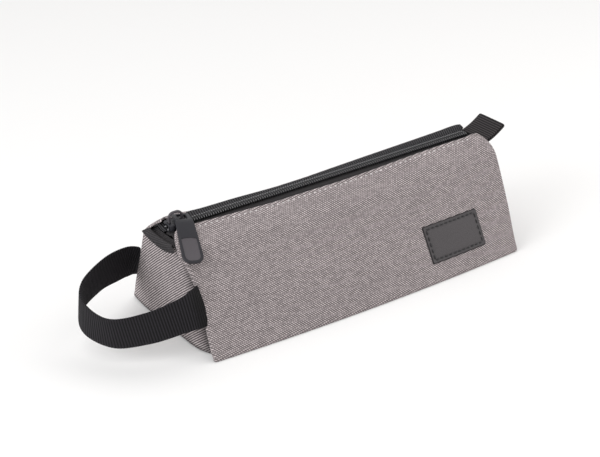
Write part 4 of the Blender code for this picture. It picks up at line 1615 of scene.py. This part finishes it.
@dataclass(frozen=True)
class Slider:
    """The slider body and the crown, a bent strip that the pull hooks round."""

    rest_x: float = -0.0963
    top: float = 0.0638
    length: float = 0.0092
    leg: float = 0.0013
    width: float = 0.0018
    clearance: float = 0.0047
    bridge: float = 0.0013
    bend: float = 0.003
    seat: float = 0.0001
    painted_light: float = 0.8
    edge_round: float = 0.00022

    def build(self, wardrobe: Wardrobe) -> None:
        """Make the body from the CAD body with its edges rounded, and the crown as a carried section.

        Args:
            wardrobe: The finishes of the case.
        """
        body = refined_copy("slider_body", "slider_shell", self.edge_round)
        dress(body, wardrobe.metal, "slider_body", "slider")
        half = (self.length - self.leg) / 2
        high = self.clearance + self.bridge / 2
        turn = np.linspace(0.0, math.pi / 2, 12)
        out = half - self.bend + self.bend * np.cos(turn)
        corner = grid(out, high - self.bend + self.bend * np.sin(turn))
        leg = grid(half, np.linspace(-self.seat, high - self.bend, 6))
        right = np.concatenate([leg[:-1], corner])
        path = resample(np.concatenate([right, right[::-1] * np.array([-1.0, 1.0])]), 70)
        centre = grid(self.rest_x + path[:, 0], 0.0, self.top + path[:, 1])
        across = everywhere(ACROSS, centre)
        share = np.linspace(0.0, 1.0, len(centre))
        thick = self.leg + (self.bridge - self.leg) * np.sin(math.pi * share) ** 2
        ring = oval(1.0, 1.0, 18, 2.4) * grid(self.width, thick)[:, None]
        points = carried(centre, across, np.cross(heading(centre), across), ring)
        crown = surface("slider_bridge", points, tube=True, flip=True)
        # Painted highlight: the whole crown is drawn lighter than the pull.
        mark(crown, "rub", np.full(len(crown.data.vertices), self.painted_light))
        dress(crown, wardrobe.metal, "slider_crown", "slider")


@dataclass(frozen=True)
class Pull:
    """The pull: a flat plate with a window for the crown, bent down, with a thumb recess."""

    recess_depth: float = 0.0004
    below_bend: float = 0.0615
    edge_round: float = 0.0002

    def build(self, wardrobe: Wardrobe) -> None:
        """Make the pull from the CAD plate with its edges rounded, and paint a highlight on its recess.

        Below the bend the plate's outer face is the plane of its foremost points. The recess's floor is
        all that faces out and lies a recess deeper.

        Args:
            wardrobe: The finishes of the case.
        """
        plate = refined_copy("pull_tab", "pull_plate", self.edge_round)
        points = read(plate.data.vertices, "co", 3)
        facing = read(plate.data.polygons, "normal", 3)
        areas = read(plate.data.polygons, "area", 1)
        front = facing[:, 1] < -0.3
        out = unit(np.sum(facing[front] * areas[front] ** 4, axis=0))
        depth = np.max(points @ out) - points @ out
        # Painted highlight: the floor of the recess is drawn lighter.
        floor = smooth(-np.abs(depth - self.recess_depth), -0.00012, -0.00006)
        mark(plate, "rub", np.where(points[:, 2] < self.below_bend, floor, 0.0))
        dress(plate, wardrobe.metal, "pull_tab", "pull")


# Webbing


@dataclass(frozen=True)
class Webbing:
    """Ribbed webbing with rounded selvedges."""

    width: float = 0.022
    thickness: float = 0.0013
    rib: float = 0.0015
    relief: float = 0.00015

    def lay(self, name: str, path: np.ndarray, across: np.ndarray) -> bpy.types.Object:
        """Carry the webbing's section along a path.

        The section is a squared oval. Its thickness swells with the absolute sine of half a turn a rib.

        Args:
            name: The piece's name.
            path: The middle of the webbing, at close steps.
            across: Its width direction at each point.

        Returns:
            The new object, with U along the webbing and V across it.
        """
        length = run_length(path)
        ring = oval(1.0, 1.0, 30, 7.0)
        swell = np.abs(np.sin(math.pi * length / self.rib)) ** 0.8
        sizes = grid(self.width, self.thickness + 2 * self.relief * (swell - 1.0))
        points = carried(path, across, np.cross(heading(path), across), ring * sizes[:, None])
        uv = grid(length[:, None], np.append(ring[:, 0], ring[0, 0]) * self.width)
        return surface(name, points, uv, tube=True)


@dataclass(frozen=True)
class CarryLoop:
    """The carry loop, from the front end seam round to the back end seam.

    Each row is a place of the webbing's middle and how far its width leans from upright towards the
    inside of the loop, in degrees. The first and the last lean with the seams.
    """

    seat_z: float = 0.0275
    pivot: float = -0.1064
    root: float = 0.03
    dark_until: tuple[float, float] = (0.0065, 0.0135)
    steps: int = 1150
    rows: tuple[tuple[float, float, float, float], ...] = (
        (-0.0990, -0.0314, 0.0277, 27.4),
        (-0.1070, -0.0351, 0.0286, 12.6),
        (-0.1155, -0.0352, 0.0274, -4.1),
        (-0.1327, -0.0296, 0.0236, -13.9),
        (-0.1493, -0.0187, 0.0215, -16.4),
        (-0.1561, -0.0013, 0.0252, -2.5),
        (-0.1508, 0.0120, 0.0301, 11.8),
        (-0.1321, 0.0245, 0.0324, 14.2),
        (-0.1162, 0.0322, 0.0307, 14.9),
        (-0.1075, 0.0340, 0.0288, 21.6),
        (-0.1035, 0.0318, 0.0273, 27.4),
    )

    def build(self, webbing: Webbing, wardrobe: Wardrobe) -> None:
        """Make the loop: a smooth curve through the rows, with the webbing carried along it.

        The mark seam paints shade on its first stretch, beside the front end seam.

        Args:
            webbing: The webbing that it is made of.
            wardrobe: The finishes of the case.
        """
        fine = resample(curve_through(np.array(self.rows), 1200), self.steps)
        path, lean = fine[:, :3], np.radians(fine[:, 3:])
        tangent = heading(path)
        upright = unit(np.array(UP) - tangent * tangent[:, 2:])
        across = upright * np.cos(lean) + np.cross(tangent, upright) * np.sin(lean)
        item = webbing.lay("loop_webbing", path, across)
        # Painted shade on the loop's first stretch, where it goes into the front seam.
        painted_root_shade = 1.0 - smooth(run_length(path), *self.dark_until)
        mark(item, "seam", np.repeat(painted_root_shade, len(item.data.vertices) // self.steps))
        item.data.materials.append(wardrobe.webbing)
        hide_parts("handle_strap")
        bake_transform(item)
        LOG.info("loop_webbing: %d points from case to loop", len(item.data.vertices))


@dataclass(frozen=True)
class EndTab:
    """The end tab: webbing folded double, with both ends sewn to the band."""

    seat: Triple = (0.10774, 0.0, 0.05709)
    length: float = 0.0164
    rise: float = math.radians(27.0)
    slit: float = 0.00015
    sag: float = 0.0006
    sewn_in: float = 0.0004
    root: float = 0.006

    def build(self, webbing: Webbing, wardrobe: Wardrobe) -> None:
        """Make the tab: out along its lower layer, round the fold, and back along its upper layer.

        Args:
            webbing: The webbing that it is made of.
            wardrobe: The finishes of the case.
        """
        depth = self.slit + webbing.thickness / 2
        straight = self.length - self.slit - webbing.thickness
        turn = np.linspace(-math.pi / 2, math.pi / 2, 24)
        arc = grid(straight + depth * np.cos(turn), depth * np.sin(turn))
        lower = grid(np.linspace(-self.sewn_in, straight, 30)[:-1], -depth)
        out, up = resample(np.concatenate([lower, arc, lower[::-1] * np.array([1.0, -1.0])]), 190).T
        up = up - self.sag * np.sin(math.pi * np.clip(out / straight, 0.0, 1.0))
        cos, sin = math.cos(self.rise), math.sin(self.rise)
        path = grid(self.seat[0] + out * cos - up * sin, 0.0, self.seat[2] + out * sin + up * cos)
        item = webbing.lay("tab_webbing", path, everywhere(ACROSS, path))
        item.data.materials.append(wardrobe.tab_webbing)
        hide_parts("end_tab")
        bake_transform(item)
        LOG.info("tab_webbing: %d points from case to tab", len(item.data.vertices))


# Label


@dataclass(frozen=True)
class Label:
    """The bare hide label and the stitches round it."""

    panel: LongPanel
    centre_x: float = 0.0618
    up_slope: float = 0.0115
    width: float = 0.0396
    height: float = 0.022
    thickness: float = 0.001
    corner_radius: float = 0.0012
    rim: float = 0.0003
    above_cloth: float = 0.0002
    below: float = 0.0001
    columns: int = 110
    rows: int = 66
    stitch_inset: float = 0.0021
    stitch_pitch: float = 0.0033
    stitch_length: float = 0.0029
    stitch_lift: float = 0.00012
    thread: float = 0.00095
    pressed_in: float = 0.00016
    pressed_width: float = 0.00045
    swell: float = 0.00012
    swell_run: float = 0.003
    painted_rim: tuple[float, float] = (0.0004, 0.0008)

    @property
    def middle_along(self) -> float:
        """The distance along the panel's cloth at the label's middle.

        The section's last seven points lie on the ground and are left out.

        Returns:
            The distance from the inside of the panel's turned edge.
        """
        section, on_ground = self.panel.section, 7
        height = (self.up_slope + self.height / 2) * math.sin(self.panel.form.lower_slope)
        outer = np.flatnonzero(section.along > self.panel.edge_along)[:-on_ground]
        return float(np.interp(-height, -section.height[outer], section.along[outer]))

    def build(self, wardrobe: Wardrobe) -> None:
        """Make the patch and its stitches."""
        self.cut(wardrobe)
        self.sew(wardrobe)

    def cut(self, wardrobe: Wardrobe) -> None:
        """Make the patch: a plate on the panel whose rim falls round a quarter circle to the cloth.

        The gap is the distance in from the cut edge, whose corners are round, and the grid's own corners
        are drawn in to them. The stitch line is pressed in a little and the middle swells.

        Args:
            wardrobe: The finishes of the case.
        """
        radius = self.corner_radius
        x_off = np.linspace(-1.0, 1.0, self.columns)[None] * self.width / 2
        y_off = np.linspace(-1.0, 1.0, self.rows)[:, None] * self.height / 2
        gap_x, gap_y = self.width / 2 - np.abs(x_off), self.height / 2 - np.abs(y_off)
        inward = radius - np.hypot(np.maximum(radius - gap_x, 0.0), np.maximum(radius - gap_y, 0.0))
        gap = np.where((gap_x < radius) & (gap_y < radius), inward, np.minimum(gap_x, gap_y))
        drawn = np.maximum(-gap, 0.0) * 0.72
        x = self.centre_x + x_off - np.sign(x_off) * drawn
        along = self.middle_along - y_off + np.sign(y_off) * drawn
        gap = np.maximum(gap, 0.0)
        fallen = 1.0 - np.sqrt(1.0 - (1.0 - np.minimum(gap / self.rim, 1.0)) ** 2)
        pressed = self.pressed_in * hump(gap, self.stitch_inset, self.pressed_width)
        swell = self.swell * smooth(gap, self.stitch_inset, self.stitch_inset + self.swell_run)
        lift = self.above_cloth + self.thickness - self.rim * fallen - pressed + swell
        upper = self.panel.place(x, along, lift)
        points = np.concatenate([upper, self.panel.place(x, along, np.full_like(gap, self.below))])
        index = numbers(self.rows, self.columns)
        border = np.concatenate([index[0, :-1], index[:-1, -1], index[-1, :0:-1], index[:0:-1, 0]])
        after = np.roll(border, -1)
        sides = np.stack([after, border, border + index.size, after + index.size], axis=-1)
        faces = np.concatenate([cells(index, False), cells(index, True) + index.size, sides])
        item = put_mesh("label_hide", points, faces.tolist())
        painted = 1.0 - smooth(gap, *self.painted_rim)
        mark(item, "edge", np.concatenate([painted.ravel(), np.ones(index.size)]))
        work = bmesh.new()
        work.from_mesh(item.data)
        bmesh.ops.recalc_face_normals(work, faces=work.faces)
        work.to_mesh(item.data)
        work.free()
        dress(item, wardrobe.hide, "label_patch")

    def sew(self, wardrobe: Wardrobe) -> None:
        """Make the stitches along the four sides.

        Args:
            wardrobe: The finishes of the case.
        """
        half_x = self.width / 2 - self.stitch_inset
        half_y = self.height / 2 - self.stitch_inset
        places, turns = [], []
        for length, other, upright in ((half_x, half_y, False), (half_y, half_x, True)):
            count = int(round(2 * length / self.stitch_pitch))
            steps = (np.arange(count) + 0.5) / count * 2 * length - length
            for sign in (-1.0, 1.0):
                pair = (sign * other, steps) if upright else (steps, sign * other)
                places.append(grid(*pair))
                turns.append(np.full(count, upright))
        places, turns = np.concatenate(places), np.concatenate(turns)
        x, along = self.centre_x + places[:, 0], self.middle_along - places[:, 1]
        lift, small = self.thickness + self.stitch_lift, 0.0005
        across = self.panel.place(x + small, along, lift) - self.panel.place(x - small, along, lift)
        upward = self.panel.place(x, along - small, lift) - self.panel.place(x, along + small, lift)
        runs = np.where(turns[:, None], upward, across)
        centres = self.panel.place(x, along, lift)
        normals = np.cross(across, upward)
        item = stitches("label_stitches", centres, runs, normals, self.stitch_length, self.thread)
        dress(item, wardrobe.black_thread)


# Studio


def turned_to(right: np.ndarray, up: np.ndarray, back: np.ndarray, place: np.ndarray) -> Matrix:
    """Return the matrix of an object with those three axes at that place.

    Args:
        right: The object's own X.
        up: Its own Y.
        back: Its own Z.
        place: Where it stands.

    Returns:
        The matrix.
    """
    matrix = Matrix(np.stack([right, up, back], axis=-1).tolist()).to_4x4()
    matrix.translation = place
    return matrix


@dataclass(frozen=True)
class Lamp:
    """A square soft lamp that faces the case."""

    name: str
    place: Triple
    size: float
    power: float
    colour: Triple
    aim: Triple = (0.0, 0.0, 0.03)

    def build(self) -> None:
        """Make the lamp: its back points away from its aim, and its right lies level."""
        data = bpy.data.lights.new(self.name, "AREA")
        data.size = self.size
        data.energy = self.power
        data.color = self.colour
        back = unit(np.array(self.place) - np.array(self.aim))
        side = unit(np.cross(UP, back))
        put(self.name, data).matrix_world = turned_to(side, np.cross(back, side), back, self.place)


@dataclass(frozen=True)
class Studio:
    """The camera, the lamps and the pale floor. The camera's angles are in degrees."""

    azimuth: float = -31.78
    elevation: float = 26.245
    roll: float = -3.138
    distance: float = 0.9018
    target: Triple = (-0.018165, 0.0, 0.034872)
    focal_pixels: float = 1587.8
    picture_width: float = 600.0
    sensor: float = 36.0
    sky: float = 0.58
    floor_size: float = 4.0
    floor_drop: float = 0.00005
    floor_glow: float = 0.12
    floor_colour: Triple = (0.82, 0.815, 0.81)
    lamps: tuple[Lamp, ...] = (
        Lamp("key", (0.1, 0.15, 1.1), 1.8, 6.5, (1.0, 0.985, 0.97)),
        Lamp("right", (0.5, -0.35, 0.35), 0.5, 1.2, (1.0, 0.99, 0.98)),
        Lamp("side", (-1.0, -0.1, 0.5), 0.8, 6.0, (0.97, 0.985, 1.0)),
    )

    def camera(self) -> None:
        """Make the camera: its axes are the view's right, up and back, turned by the roll."""
        azimuth, elevation, roll = (math.radians(a) for a in (self.azimuth, self.elevation, self.roll))
        ahead = np.array([math.sin(azimuth), -math.cos(azimuth), 0.0])
        back = ahead * math.cos(elevation) + np.array(UP) * math.sin(elevation)
        level = np.array([math.cos(azimuth), math.sin(azimuth), 0.0])
        above = np.cross(back, level)
        right = level * math.cos(roll) + above * math.sin(roll)
        up = above * math.cos(roll) - level * math.sin(roll)
        data = bpy.data.cameras.new("view")
        data.sensor_fit = "HORIZONTAL"
        data.sensor_width = self.sensor
        data.lens = self.focal_pixels / self.picture_width * self.sensor
        data.clip_start = 0.01
        data.clip_end = 50.0
        item = put("view", data)
        item.matrix_world = turned_to(right, up, back, np.array(self.target) + self.distance * back)
        bpy.context.scene.camera = item

    def world(self) -> None:
        """Make the even sky, which the camera and reflections see as white."""
        world = bpy.data.worlds.new("studio")
        bpy.context.scene.world = world
        world.use_nodes = True
        wire = Wiring(world.node_tree)
        strength = wire.span(wire.seen(), self.sky, 1.0)
        white = (1.0, 1.0, 1.0, 1.0)
        wire.feed(world.node_tree.nodes["Background"], {"Color": white, "Strength": strength})

    def floor(self) -> None:
        """Make the pale floor, which keeps the case's shadow and is lifted to white where it is lit."""
        steps = np.linspace(-self.floor_size, self.floor_size, 9)
        item = surface("floor", grid(steps[None], steps[:, None], -self.floor_drop))
        material = bpy.data.materials.new("pale_floor")
        material.use_nodes = True
        nodes = material.node_tree.nodes
        nodes.remove(nodes["Principled BSDF"])
        wire = Wiring(material.node_tree)
        paint, glow, both = (wire.add(kind) for kind in ("BsdfDiffuse", "Emission", "AddShader"))
        wire.feed(paint, {"Color": self.floor_colour + (1.0,)})
        wire.feed(glow, {"Strength": wire.times(wire.seen(), self.floor_glow)})
        wire.feed(both, {0: paint.outputs[0], 1: glow.outputs[0]})
        wire.feed(nodes["Material Output"], {"Surface": both.outputs[0]})
        item.data.materials.append(material)

    def build(self) -> None:
        """Make the camera, the lamps and the floor, and set the plain view transform."""
        bpy.context.scene.view_settings.view_transform = "Standard"
        self.camera()
        for lamp in self.lamps:
            lamp.build()
        self.world()
        self.floor()


def main() -> None:
    """Build the studio and every sub-assembly in order."""
    logging.basicConfig(level=logging.INFO, format="%(message)s")
    Studio().build()
    wardrobe = Wardrobe()
    form = CaseForm()
    front = LongPanel(form, Side.FRONT, (
        Crease(-0.094, 0.030, 90.0, 0.016, 0.006, -0.0014),
        Crease(-0.078, 0.034, 80.0, 0.018, 0.007, 0.0007),
        Crease(0.090, 0.040, 30.0, 0.007, 0.0035, -0.0008),
        Crease(0.088, 0.014, 90.0, 0.014, 0.012, -0.0010),
        Crease(-0.02, 0.046, 10.0, 0.040, 0.010, 0.0006),
        Crease(0.035, 0.026, -12.0, 0.035, 0.009, 0.0005),
    ))
    back = LongPanel(form, Side.BACK, (
        Crease(-0.085, 0.034, 80.0, 0.016, 0.007, -0.0008),
        Crease(0.02, 0.044, 8.0, 0.050, 0.011, 0.0006),
        Crease(0.085, 0.036, 100.0, 0.018, 0.007, -0.0007),
    ), setback=0.0022, tuck=0.0006, brow=0.0042)
    for panel in (front, back):
        panel.build(wardrobe)
    Base(form).build(wardrobe)
    for end in End:
        for part in (EndWall, EndBand, SeamBinding):
            part(form, end).build(wardrobe)
    for side in Side:
        for part in (ZipTape, ZipCoil):
            part(form, side).build(wardrobe)
    Slider().build(wardrobe)
    Pull().build(wardrobe)
    webbing = Webbing()
    CarryLoop().build(webbing, wardrobe)
    EndTab().build(webbing, wardrobe)
    Label(front).build(wardrobe)


if __name__ == "__main__":
    main()
